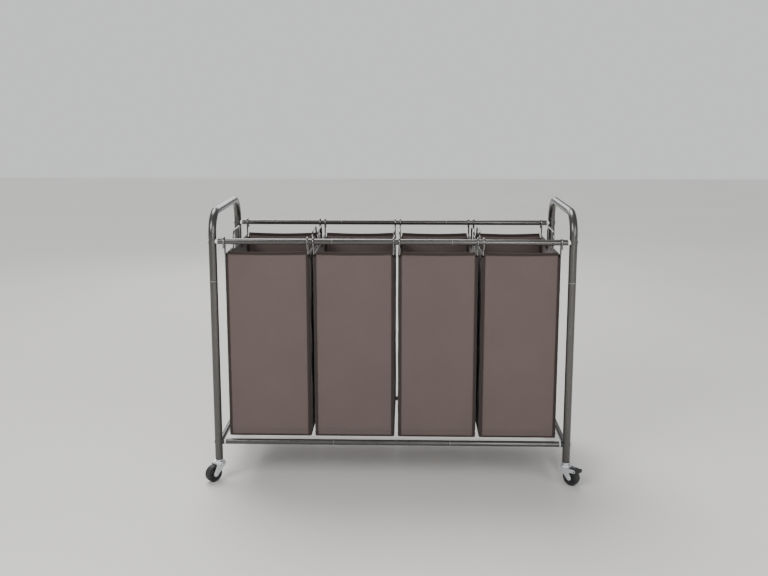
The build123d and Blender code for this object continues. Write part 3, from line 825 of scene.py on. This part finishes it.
def bag_cloth(number, settings):
    """One bag's walls and bottom as a single surface, before it has a thickness."""
    points, rows, around = cloth_grid(number, settings)
    wall_faces = grid_faces(rows, around, closed=True)
    centre, half_width, half_depth, low, high = bag_box(number)
    inner_start = len(points)
    shares = (0.90, 0.70, 0.45, 0.2)
    for share in shares:
        for x, y, z in points[:around]:
            points.append((centre + (x - centre) * share, y * share, low))
    rings = [0] + [inner_start + k * around for k in range(len(shares))]
    floor_faces = []
    for outer, inner in zip(rings, rings[1:]):
        for column in range(around):
            beside = (column + 1) % around
            floor_faces.append((outer + beside, outer + column, inner + column, inner + beside))
    floor_faces.append(tuple(rings[-1] + k for k in reversed(range(around))))
    mesh = mesh_from(f"bag_{number}_cloth", points, wall_faces + floor_faces)
    marks = along_lengths(number, settings)

    def spot(face, vertex):
        if face.index < len(wall_faces):
            column = vertex % around
            if column == 0 and face.index % around == around - 1:
                column = around
            return marks[column], points[vertex][2]
        return points[vertex][0] + 3.0, points[vertex][1]

    draw_uv(mesh, spot)
    piece = new_piece(f"bag_{number}_cloth", mesh)
    held = piece.vertex_groups.new(name="held")
    placed = columns_of(number, settings)
    for row in range(rows):
        for column in range(around):
            wall = placed[column][4]
            share = placed[column][5]
            firm = row <= 3 or wall is None or share in (0.0, 1.0)
            if row >= rows - 3:
                firm = firm or wall in (1, 3) or not 0.06 < share < 0.94
            if firm:
                held.add([row * around + column], 1.0, "REPLACE")
            elif row >= rows - 3:
                held.add([row * around + column], 0.7, "REPLACE")
    held.add(list(range(inner_start, len(points))), 1.0, "REPLACE")
    return piece


def wall_strip(number, settings, column_ids, row_ids, lift, closed=False):
    """Part of the settled wall cloth as its own strip, moved out along the cloth's normals."""
    source = bpy.data.objects[f"bag_{number}_cloth"].data
    around = len(columns_of(number, settings))
    marks = along_lengths(number, settings)
    points, spots = [], []
    for row in row_ids:
        for place, column in enumerate(column_ids):
            vertex = source.vertices[row * around + column % around]
            points.append(vertex.co + vertex.normal * lift)
            spots.append((marks[column % around] + (marks[-1] if column >= around else 0), vertex.co.z))
    return points, grid_faces(len(row_ids), len(column_ids), closed), spots


def bound_edges(number, settings):
    """Every strip of binding on a bag: four corners, the mouth and the bottom seam."""
    around = columns_of(number, settings)
    rows = row_count(number, settings)
    count = len(around)
    strips = []
    for first in corner_starts(around):
        strips.append((range(first - 2, first + 4), range(0, rows - 1), 0.0, False))
    strips.append((range(count), range(rows - 3, rows), 0.0, True))
    strips.append((range(count), range(0, 2), 0.0003, True))
    return strips


def collected(name, strips):
    """Several strips as one mesh with the cloth UV map."""
    points, faces, spots = [], [], []
    for strip_points, strip_faces, strip_spots in strips:
        start = len(points)
        points += strip_points
        spots += strip_spots
        faces += [tuple(start + k for k in face) for face in strip_faces]
    mesh = mesh_from(name, points, faces)
    draw_uv(mesh, lambda face, vertex: spots[vertex])
    mesh.shade_smooth()
    return mesh


def thicken(piece, thickness, rounding=0.0):
    """Gives a surface its thickness, to both sides, with its rim closed."""
    solid = piece.modifiers.new("Thickness", "SOLIDIFY")
    solid.thickness = thickness
    solid.offset = 0.0
    solid.use_even_offset = True
    solid.use_quality_normals = True
    if rounding:
        bevel = piece.modifiers.new("Rounding", "BEVEL")
        bevel.width = rounding
        bevel.segments = 2
        bevel.limit_method = "ANGLE"
        bevel.angle_limit = math.radians(50)


def stitch_lines(number, settings):
    """Sewing lines beside every binding, as edges just above the outer face of the tape."""
    source = bpy.data.objects[f"bag_{number}_cloth"].data
    around = columns_of(number, settings)
    count = len(around)
    rows = row_count(number, settings)
    lift = settings.tape_thickness / 2
    points, edges = [], []

    def run(spots, closed=False):
        start = len(points)
        points.extend(spots)
        edges.extend((start + k, start + k + 1) for k in range(len(spots) - 1))
        if closed:
            edges.append((start + len(spots) - 1, start))

    def spot(row, column, other_row, other_column, share):
        first = source.vertices[row * count + column % count]
        second = source.vertices[other_row * count + other_column % count]
        place = first.co.lerp(second.co, share)
        return place + first.normal.lerp(second.normal, share).normalized() * lift

    for first in corner_starts(around):
        for border, inner in ((first - 2, first - 1), (first + 3, first + 2)):
            run([spot(row, border, row, inner, 0.45) for row in range(1, rows - 3)])
    run([spot(rows - 3, k, rows - 2, k, 0.3) for k in range(count)], closed=True)
    run([spot(1, k, 0, k, 0.3) for k in range(count)], closed=True)
    thin = settings.cloth_thickness / 2 + 0.0001
    bottom_row = [source.vertices[3 * count + k] for k in range(count)]
    run([vertex.co + vertex.normal * thin for vertex in bottom_row], closed=True)
    return points, edges


def sleeve_strip(wire_x, outward, start_y, end_y, hem_z, seed):
    """Cloth folded over a hem wire, as an open profile drawn along the wire."""
    profile = [(outward * 0.0026, -0.019), (outward * 0.0030, -0.012), (outward * 0.0034, -0.005)]
    for angle in range(-20, 201, 22):
        lean = math.radians(angle)
        profile.append((outward * math.cos(lean) * 0.0037, math.sin(lean) * 0.0037))
    profile += [(outward * -0.0030, -0.006), (outward * -0.0008, -0.012), (outward * -0.0002, -0.019)]
    steps = max(6, round(abs(end_y - start_y) / 0.006))
    points, spots = [], []
    for step in range(steps + 1):
        y = start_y + (end_y - start_y) * step / steps
        for index, (x, z) in enumerate(profile):
            puff = 1 + 0.10 * noise.noise(Vector((y * 60, index * 0.7, seed)))
            dent = 0.0004 * noise.noise(Vector((y * 45, seed, index * 0.3)))
            points.append((wire_x + x * puff, y, hem_z + z + dent))
            spots.append((y, index * 0.0022))
    faces = grid_faces(steps + 1, len(profile))
    if outward * (end_y - start_y) < 0:
        faces = [tuple(reversed(face)) for face in faces]
    return points, faces, spots


def rounded_board(number, settings):
    """Cloth-covered board with a soft edge and a slight dish, lying in a bag."""
    low, high = corners_of(f"bag_{number}_base_board")
    inset, lift = 0.0008, 0.0012
    steps_x, steps_y = 18, 26
    points, faces = [], []
    for top in (False, True):
        for j in range(steps_y + 1):
            for i in range(steps_x + 1):
                u, v = 2 * i / steps_x - 1, 2 * j / steps_y - 1
                x = (low.x + high.x) / 2 + u * ((high.x - low.x) / 2 - inset) * (1 - 0.012 * v ** 8)
                y = (low.y + high.y) / 2 + v * ((high.y - low.y) / 2 - inset) * (1 - 0.012 * u ** 8)
                edge = max(abs(u), abs(v)) ** 12
                crown = 0.0006 * (1 - u * u) * (1 - v * v) + 0.0004 * noise.noise(Vector((x * 14, y * 14, number)))
                z = high.z + lift + crown - edge * 0.0022 if top else low.z + 0.0004 + edge * 0.0008
                points.append((x, y, z))
    wide, layer = steps_x + 1, (steps_x + 1) * (steps_y + 1)
    for j in range(steps_y):
        for i in range(steps_x):
            a = j * wide + i
            faces.append((a, a + wide, a + wide + 1, a + 1))
            faces.append((layer + a, layer + a + 1, layer + a + wide + 1, layer + a + wide))
    rim = [i for i in range(wide)] + [j * wide + steps_x for j in range(1, steps_y + 1)]
    rim += [steps_y * wide + i for i in range(steps_x - 1, -1, -1)] + [j * wide for j in range(steps_y - 1, 0, -1)]
    for here, there in zip(rim, rim[1:] + rim[:1]):
        faces.append((here, there, layer + there, layer + here))
    mesh = mesh_from(f"bag_{number}_board", points, faces)
    draw_uv(mesh, lambda face, vertex: (points[vertex][0] + 3.0, points[vertex][1]))
    mesh.shade_smooth()
    return mesh


# ---- Operators ----


class SORTER_OT_paint_tubes(bpy.types.Operator):
    """Paint the hoops, legs, crossbars, rails and tube joiners, and give the rail end plugs and caster sockets black
    plastic.
    """

    bl_idname = "sorter.paint_tubes"
    bl_label = "Paint Tubes"

    def execute(self, context):
        settings = context.scene.sorter_frame
        paint = material_of("tube_paint", tube_paint, settings)
        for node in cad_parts:
            if node.endswith(("hoop", "crossbar", "_leg")) or "_rail_" in node:
                coat_node(node, paint)
        coat_node("tube_joiners", paint)
        coat_node("rail_end_plugs", material_of("black_plastic", black_plastic, settings))
        coat_node("caster_sockets", material_of("black_plastic", black_plastic, settings))
        return {"FINISHED"}


class SORTER_OT_seam_rings(bpy.types.Operator):
    """Add the bright ring where each tube section meets the next."""

    bl_idname = "sorter.seam_rings"
    bl_label = "Seam Rings"

    def execute(self, context):
        settings = context.scene.sorter_frame
        rows = []
        for corner in CORNERS:
            low, high = corners_of(f"{corner}_leg")
            place = Vector(((low.x + high.x) / 2, (low.y + high.y) / 2, high.z))
            rows.append((place, (0, 0, 1), (high.x - low.x) / 2))
        for level in ("top", "bottom"):
            for side in ("front", "back"):
                low, high = corners_of(f"{level}_{side}_rail_middle")
                for x in (low.x, high.x):
                    place = Vector((x, (low.y + high.y) / 2, (low.z + high.z) / 2))
                    rows.append((place, (1, 0, 0), (high.z - low.z) / 2))
        piece = guide_points("tube_seam_rings", rows)
        bright = material_of("bare_ring_metal", bare_ring_metal, settings)
        grow(piece, rings_tree(), {"Ratio": settings.ring_ratio, "Finish": bright})
        finish_piece(piece, "frame", None)
        return {"FINISHED"}


class SORTER_OT_weld_beads(bpy.types.Operator):
    """Lay a rippled weld bead round both ends of each crossbar."""

    bl_idname = "sorter.weld_beads"
    bl_label = "Weld Beads"

    def execute(self, context):
        settings = context.scene.sorter_frame
        points, edges = [], []
        for side in ("left", "right"):
            low, high = corners_of(f"{side}_crossbar")
            bar = (high.z - low.z) / 2 + 0.0003
            leg_low, leg_high = corners_of(f"front_{side}_leg")
            leg = (leg_high.x - leg_low.x) / 2 + 0.0002
            leg_y = abs(leg_low.y + leg_high.y) / 2
            for way in (-1, 1):
                start, steps = len(points), 48
                for step in range(steps):
                    angle = math.tau * step / steps
                    x, z = bar * math.cos(angle), bar * math.sin(angle)
                    y = way * (leg_y - math.sqrt(max(0.0, leg * leg - x * x)))
                    points.append(((low.x + high.x) / 2 + x, y, (low.z + high.z) / 2 + z))
                    edges.append((start + step, start + (step + 1) % steps))
        piece = new_piece("crossbar_weld_beads", mesh_from("weld_paths", points, [], edges))
        paint = material_of("tube_paint", tube_paint, settings)
        grow(piece, beads_tree(), {"Pitch": 0.0013, "Length": 0.0026, "Width": 0.0034, "Finish": paint})
        finish_piece(piece, "frame", None)
        return {"FINISHED"}


class SORTER_OT_rail_bolts(bpy.types.Operator):
    """Replace the plain bolts with button heads that have a hexagon socket."""

    bl_idname = "sorter.rail_bolts"
    bl_label = "Rail Bolts"

    def execute(self, context):
        settings = context.scene.sorter_frame
        low, high = corners_of("rail_bolts")
        leg_low, leg_high = corners_of("front_right_leg")
        seat, head = leg_high.x, high.x - leg_high.x
        radius = 0.0056
        outline = [(0.0, head - 0.0020), (0.0017, head - 0.0019), (0.0018, head - 0.0002), (0.0022, head)]
        outline += [
            (radius * math.cos(a), head - 0.0022 + 0.0022 * math.sin(a)) for a in (1.2, 0.95, 0.7, 0.45, 0.2, 0.0)
        ]
        outline += [(radius, 0.0), (0.0030, 0.0), (0.0030, -0.030), (0.0022, -0.0308), (0.0, -0.0308)]
        pattern = new_piece(
            "bolt_pattern", turned("bolt_pattern", outline, Vector((0, 0, 0)), Vector((0, 0, 1)), 48, (1, 2))
        )
        rows = []
        for side in ("left", "right"):
            way = 1 if side == "right" else -1
            for level in ("top", "bottom"):
                for row in ("front", "back"):
                    rail = middle(f"{level}_{row}_rail_{side}")
                    rows.append((Vector((way * seat, rail.y, rail.z)), (way, 0, 0), 1.0))
        piece = guide_points("rail_bolt_set", rows)
        grow(piece, copies_tree(), {"Pattern": pattern, "Finish": material_of("zinc_plate", zinc_plate, settings)})
        bpy.data.objects.remove(pattern)
        piece.data.set_sharp_from_angle(angle=SMOOTH_ANGLE)
        finish_piece(piece, "frame", None, ["rail_bolts"])
        return {"FINISHED"}


class SORTER_OT_rail_spacers(bpy.types.Operator):
    """Give the pale spacers and the dark saddles their moulded edges and finishes."""

    bl_idname = "sorter.rail_spacers"
    bl_label = "Rail Spacers"

    def execute(self, context):
        settings = context.scene.sorter_frame
        spacers = softened_copy("rail_spacer_set", "nylon_spacers", settings.edge_bevel)
        finish_piece(spacers, "frame", material_of("nylon", nylon, settings), ["nylon_spacers"])
        saddles = softened_copy("leg_saddle_set", "lower_saddles", settings.edge_bevel)
        dark = material_of("black_plastic", black_plastic, settings)
        finish_piece(saddles, "frame", dark, ["lower_saddles"])
        return {"FINISHED"}


class SORTER_OT_caster_yokes(bpy.types.Operator):
    """Break the edges of the pressed yokes, stems and axles, and plate them."""

    bl_idname = "sorter.caster_yokes"
    bl_label = "Caster Yokes"

    def execute(self, context):
        settings = context.scene.sorter_frame
        zinc = material_of("zinc_plate", zinc_plate, settings)
        for corner in CORNERS:
            for part, body, width in (
                ("stem", "frame", 0.0003),
                ("fork", f"{corner}_swivel", settings.edge_bevel),
                ("axle", f"{corner}_swivel", settings.edge_bevel),
            ):
                node = f"{corner}_caster_{part}"
                piece = softened_copy(f"{corner}_plated_{part}", node, width)
                finish_piece(piece, body, zinc, [node])
        return {"FINISHED"}


class SORTER_OT_caster_wheels(bpy.types.Operator):
    """Turn the tyre and hub of each caster, and rib the hub on both sides."""

    bl_idname = "sorter.caster_wheels"
    bl_label = "Caster Wheels"

    def execute(self, context):
        settings = context.scene.sorter_frame
        rubber = material_of("tyre_rubber", tyre_rubber, settings)
        moulded = material_of("hub_plastic", black_plastic, settings, name="hub_plastic", gloss=0.26)
        ribs = ribs_tree()
        half_tyre = [
            (0.0183, 0.0088), (0.0192, 0.0094), (0.0212, 0.0095), (0.0224, 0.0091), (0.0232, 0.0080),
            (0.0237, 0.0062), (0.02385, 0.0054), (0.0234, 0.0050), (0.0234, 0.0046), (0.0239, 0.0042),
            (0.0240, 0.0016),
        ]
        half_hub = [(0.0031, 0.0110), (0.0072, 0.0110), (0.0084, 0.0102), (0.0089, 0.0076), (0.0094, 0.0064)]
        half_hub += [(0.0170, 0.0058), (0.0177, 0.0066), (0.0180, 0.0086), (0.0187, 0.0088)]
        for corner in CORNERS:
            centre = middle(f"{corner}_caster_wheel")
            axle = caster_ways(corner)[1]
            body = f"{corner}_wheel"
            for part, half, steps, material, replaced in (
                ("tyre", half_tyre, 96, rubber, [f"{corner}_caster_wheel"]),
                ("hub", half_hub, 72, moulded, ()),
            ):
                outline = half + [(r, -a) for r, a in reversed(half)]
                name = f"{corner}_{part}"
                piece = new_piece(name, turned(name, outline, centre, axle, steps))
                finish_piece(piece, body, material, replaced)
            spokes = guide_points(f"{corner}_hub_ribs", [(centre, axle, 1.0)])
            values = {"Ribs": settings.hub_ribs, "Inner": 0.0085, "Outer": 0.0178, "Depth": 0.0164, "Finish": moulded}
            grow(spokes, ribs, values, smooth=False)
            finish_piece(spokes, body, None)
        return {"FINISHED"}


class SORTER_OT_brake_levers(bpy.types.Operator):
    """Give the brake levers their moulded edges, and ridges where the foot presses."""

    bl_idname = "sorter.brake_levers"
    bl_label = "Brake Levers"

    def execute(self, context):
        settings = context.scene.sorter_frame
        dark = material_of("black_plastic", black_plastic, settings)
        beads = beads_tree()
        for corner in BRAKED:
            node = f"{corner}_brake_lever"
            lever = softened_copy(f"{corner}_brake_pedal", node, settings.edge_bevel)
            body = f"{corner}_brake"
            finish_piece(lever, body, dark, [node])
            high = corners_of(node)[1]
            leg = middle(f"{corner}_leg")
            trail, axle = caster_ways(corner)
            points, edges = [], []
            half_pad = 0.0085
            for step in range(4):
                reach = 0.0380 + 0.0023 * step
                top = high.z - 0.00055 * (3 - step) * 0.8 - 0.0002
                spot = Vector((leg.x, leg.y, 0)) + trail * reach
                spot.z = top
                points += [spot - axle * half_pad, spot + axle * half_pad]
                edges.append((2 * step, 2 * step + 1))
            ridges = new_piece(f"{corner}_pedal_ridges", mesh_from("ridge_lines", points, [], edges))
            grow(ridges, beads, {"Pitch": 0.0028, "Length": 0.0046, "Width": 0.0011, "Finish": dark})
            finish_piece(ridges, body, None)
        return {"FINISHED"}


class SORTER_OT_hanger_wires(bpy.types.Operator):
    """Plate the eight hanger wires."""

    bl_idname = "sorter.hanger_wires"
    bl_label = "Hanger Wires"

    def execute(self, context):
        plated = material_of("plated_wire", plated_wire, context.scene.sorter_frame)
        for number in BAGS:
            for side in ("left", "right"):
                coat_node(f"bag_{number}_{side}_hanger_wire", plated)
        return {"FINISHED"}


class SORTER_OT_bag_cloth(bpy.types.Operator):
    """Cut the four bags, hang them and let the cloth settle."""

    bl_idname = "sorter.bag_cloth"
    bl_label = "Bag Cloth"

    def execute(self, context):
        settings = context.scene.sorter_cloth
        base = tuple(settings.cloth_colour)
        cloth = material_of("woven_cloth", woven_cloth, settings, "woven_cloth", base)
        pieces = [bag_cloth(number, settings) for number in BAGS]
        settle(pieces, settings)
        for number, piece in zip(BAGS, pieces):
            piece.vertex_groups.clear()
            piece.data.shade_smooth()
            thicken(piece, settings.cloth_thickness)
            finish_piece(piece, f"bag_{number}", cloth, [f"bag_{number}_shell"])
        return {"FINISHED"}


class SORTER_OT_bag_bindings(bpy.types.Operator):
    """Bind the corners, the mouth and the bottom seam of each bag."""

    bl_idname = "sorter.bag_bindings"
    bl_label = "Bag Bindings"

    def execute(self, context):
        settings = context.scene.sorter_cloth
        tape = material_of("ribbed_tape", ribbed_tape, settings)
        for number in BAGS:
            strips = [
                wall_strip(number, settings, list(cols), list(rows), lift, closed)
                for cols, rows, lift, closed in bound_edges(number, settings)
            ]
            piece = new_piece(f"bag_{number}_bindings", collected(f"bag_{number}_bindings", strips))
            thicken(piece, settings.tape_thickness, 0.0005)
            finish_piece(piece, f"bag_{number}", tape)
        return {"FINISHED"}


class SORTER_OT_wire_sleeves(bpy.types.Operator):
    """Fold a sleeve of binding cloth over each run of hem wire."""

    bl_idname = "sorter.wire_sleeves"
    bl_label = "Wire Sleeves"

    def execute(self, context):
        settings = context.scene.sorter_cloth
        tape = material_of("ribbed_tape", ribbed_tape, settings)
        for number in BAGS:
            strips = []
            for side, outward in (("left", -1), ("right", 1)):
                low, high = corners_of(f"bag_{number}_{side}_hanger_wire")
                wire_x, wire_z = (low.x + high.x) / 2, low.z + WIRE_MIDDLE
                for index, (start, end) in enumerate(HEM_RUNS):
                    seed = number * 4.0 + index + outward * 0.5
                    strips.append(sleeve_strip(wire_x, outward, start, end, wire_z, seed))
            piece = new_piece(f"bag_{number}_wire_sleeves", collected(f"bag_{number}_wire_sleeves", strips))
            thicken(piece, 0.0009)
            finish_piece(piece, f"bag_{number}", tape)
        return {"FINISHED"}


class SORTER_OT_bag_stitches(bpy.types.Operator):
    """Sew the bindings with rows of separate stitches."""

    bl_idname = "sorter.bag_stitches"
    bl_label = "Bag Stitches"

    def execute(self, context):
        settings = context.scene.sorter_cloth
        thread = material_of("twisted_thread", twisted_thread, settings)
        beads = beads_tree()
        for number in BAGS:
            points, edges = stitch_lines(number, settings)
            piece = new_piece(f"bag_{number}_stitches", mesh_from("stitch_lines", points, [], edges))
            pitch = settings.stitch_pitch
            grow(piece, beads, {"Pitch": pitch, "Length": pitch * 0.76, "Width": 0.0008, "Finish": thread})
            finish_piece(piece, f"bag_{number}", None)
        return {"FINISHED"}


class SORTER_OT_base_boards(bpy.types.Operator):
    """Lay a cloth-covered board in the bottom of each bag."""

    bl_idname = "sorter.base_boards"
    bl_label = "Base Boards"

    def execute(self, context):
        settings = context.scene.sorter_cloth
        base = tinted(tuple(settings.cloth_colour), 0.85)
        cover = material_of("board_cloth", woven_cloth, settings, "board_cloth", base, fine=1.3)
        for number in BAGS:
            piece = new_piece(f"bag_{number}_board", rounded_board(number, settings))
            finish_piece(piece, f"bag_{number}", cover, [f"bag_{number}_base_board"])
        return {"FINISHED"}


class SORTER_OT_declare_sheets(bpy.types.Operator):
    """Work out each bag's box and the girth of its cloth; nothing is kept from them."""

    bl_idname = "sorter.declare_sheets"
    bl_label = "Declare Sheets"

    def execute(self, context):
        settings = context.scene.sorter_cloth
        for number in BAGS:
            centre, half_width, half_depth, low, high = bag_box(number)
            girth = along_lengths(number, settings)[-1]
        return {"FINISHED"}


class SORTER_OT_studio(bpy.types.Operator):
    """Set the pale floor, the soft lights and the camera."""

    bl_idname = "sorter.studio"
    bl_label = "Studio"

    def execute(self, context):
        settings = context.scene.sorter_stage
        reach = 9.0
        ends = [(-reach, -reach, 0), (reach, -reach, 0), (reach, reach, 0), (-reach, reach, 0)]
        floor = new_piece("floor", mesh_from("floor", ends, [(0, 1, 2, 3)]))
        floor.data.materials.append(material_of("pale_floor", pale_floor, settings))
        target = Vector((0, 0, 0.38))
        for name, place, wide, tall, power in (
            ("key_light", (-1.9, -2.3, 2.5), 1.6, 1.6, 70.0),
            ("fill_light", (2.6, -2.6, 1.7), 2.0, 2.0, 42.0),
            ("strip_light", (0.7, -3.3, 1.3), 0.3, 2.2, 26.0),
            ("back_light", (-0.6, 3.0, 1.9), 2.4, 1.4, 30.0),
        ):
            lamp = bpy.data.lights.new(name, "AREA")
            lamp.shape = "RECTANGLE"
            lamp.size, lamp.size_y = wide, tall
            lamp.energy = power * settings.light_level
            holder = bpy.data.objects.new(name, lamp)
            holder.location = place
            holder.rotation_euler = (Vector(place) - target).to_track_quat("Z", "Y").to_euler()
            context.scene.collection.objects.link(holder)
        sky = bpy.data.lights.new("overhead_light", "SUN")
        sky.energy = 2.7 * settings.light_level
        sky.angle = math.radians(38)
        holder = bpy.data.objects.new("overhead_light", sky)
        holder.rotation_euler = Vector((-0.25, 0.55, 1.0)).to_track_quat("Z", "Y").to_euler()
        context.scene.collection.objects.link(holder)
        world = bpy.data.worlds.new("soft_room")
        world.use_nodes = True
        ground = world.node_tree.nodes["Background"]
        ground.inputs["Color"].default_value = (0.92, 0.95, 1.0, 1.0)
        ground.inputs["Strength"].default_value = 0.34
        seen = world.node_tree.nodes.new("ShaderNodeBackground")
        seen.inputs["Color"].default_value = (0.80, 0.81, 0.82, 1.0)
        seen.inputs["Strength"].default_value = 1.0
        ray = world.node_tree.nodes.new("ShaderNodeLightPath")
        mixer = world.node_tree.nodes.new("ShaderNodeMixShader")
        links = world.node_tree.links
        links.new(ray.outputs["Is Camera Ray"], mixer.inputs[0])
        links.new(ground.outputs[0], mixer.inputs[1])
        links.new(seen.outputs[0], mixer.inputs[2])
        links.new(mixer.outputs[0], world.node_tree.nodes["World Output"].inputs["Surface"])
        context.scene.world = world
        camera_data = bpy.data.cameras.new("camera")
        camera_data.sensor_width = 36.0
        camera_data.lens = settings.lens
        camera_data.shift_y = settings.shift
        camera_data.clip_end = 60.0
        camera = bpy.data.objects.new("camera", camera_data)
        camera.location = settings.camera_place
        camera.rotation_euler = (math.pi / 2 - settings.camera_pitch, 0.0, -settings.camera_yaw)
        context.scene.collection.objects.link(camera)
        context.scene.camera = camera
        return {"FINISHED"}


STEPS = (
    SORTER_OT_studio,
    SORTER_OT_paint_tubes,
    SORTER_OT_seam_rings,
    SORTER_OT_weld_beads,
    SORTER_OT_rail_bolts,
    SORTER_OT_rail_spacers,
    SORTER_OT_caster_yokes,
    SORTER_OT_caster_wheels,
    SORTER_OT_brake_levers,
    SORTER_OT_hanger_wires,
    SORTER_OT_bag_cloth,
    SORTER_OT_bag_bindings,
    SORTER_OT_wire_sleeves,
    SORTER_OT_bag_stitches,
    SORTER_OT_base_boards,
    SORTER_OT_declare_sheets,
)


class SORTER_PT_panel(bpy.types.Panel):
    """Settings and steps of the laundry sorter."""

    bl_idname = "SORTER_PT_panel"
    bl_label = "Rolling Laundry Sorter"
    bl_space_type = "VIEW_3D"
    bl_region_type = "UI"
    bl_category = "Sorter"

    def draw(self, context):
        for title, group in (
            ("Bags", context.scene.sorter_cloth),
            ("Frame", context.scene.sorter_frame),
            ("Stage", context.scene.sorter_stage),
        ):
            box = self.layout.box()
            box.label(text=title)
            for name in group.bl_rna.properties.keys():
                if name not in ("rna_type", "name"):
                    box.prop(group, name)
        for step in STEPS:
            self.layout.operator(step.bl_idname)


CLASSES = (SorterClothSettings, SorterFrameSettings, SorterStageSettings, *STEPS, SORTER_PT_panel)


def register():
    for made in CLASSES:
        bpy.utils.register_class(made)
    bpy.types.Scene.sorter_cloth = bpy.props.PointerProperty(type=SorterClothSettings)
    bpy.types.Scene.sorter_frame = bpy.props.PointerProperty(type=SorterFrameSettings)
    bpy.types.Scene.sorter_stage = bpy.props.PointerProperty(type=SorterStageSettings)


def unregister():
    del bpy.types.Scene.sorter_cloth
    del bpy.types.Scene.sorter_frame
    del bpy.types.Scene.sorter_stage
    for made in reversed(CLASSES):
        bpy.utils.unregister_class(made)


def main():
    register()
    for step in STEPS:
        group, name = step.bl_idname.split(".")
        getattr(getattr(bpy.ops, group), name)()


if __name__ == "__main__":
    main()
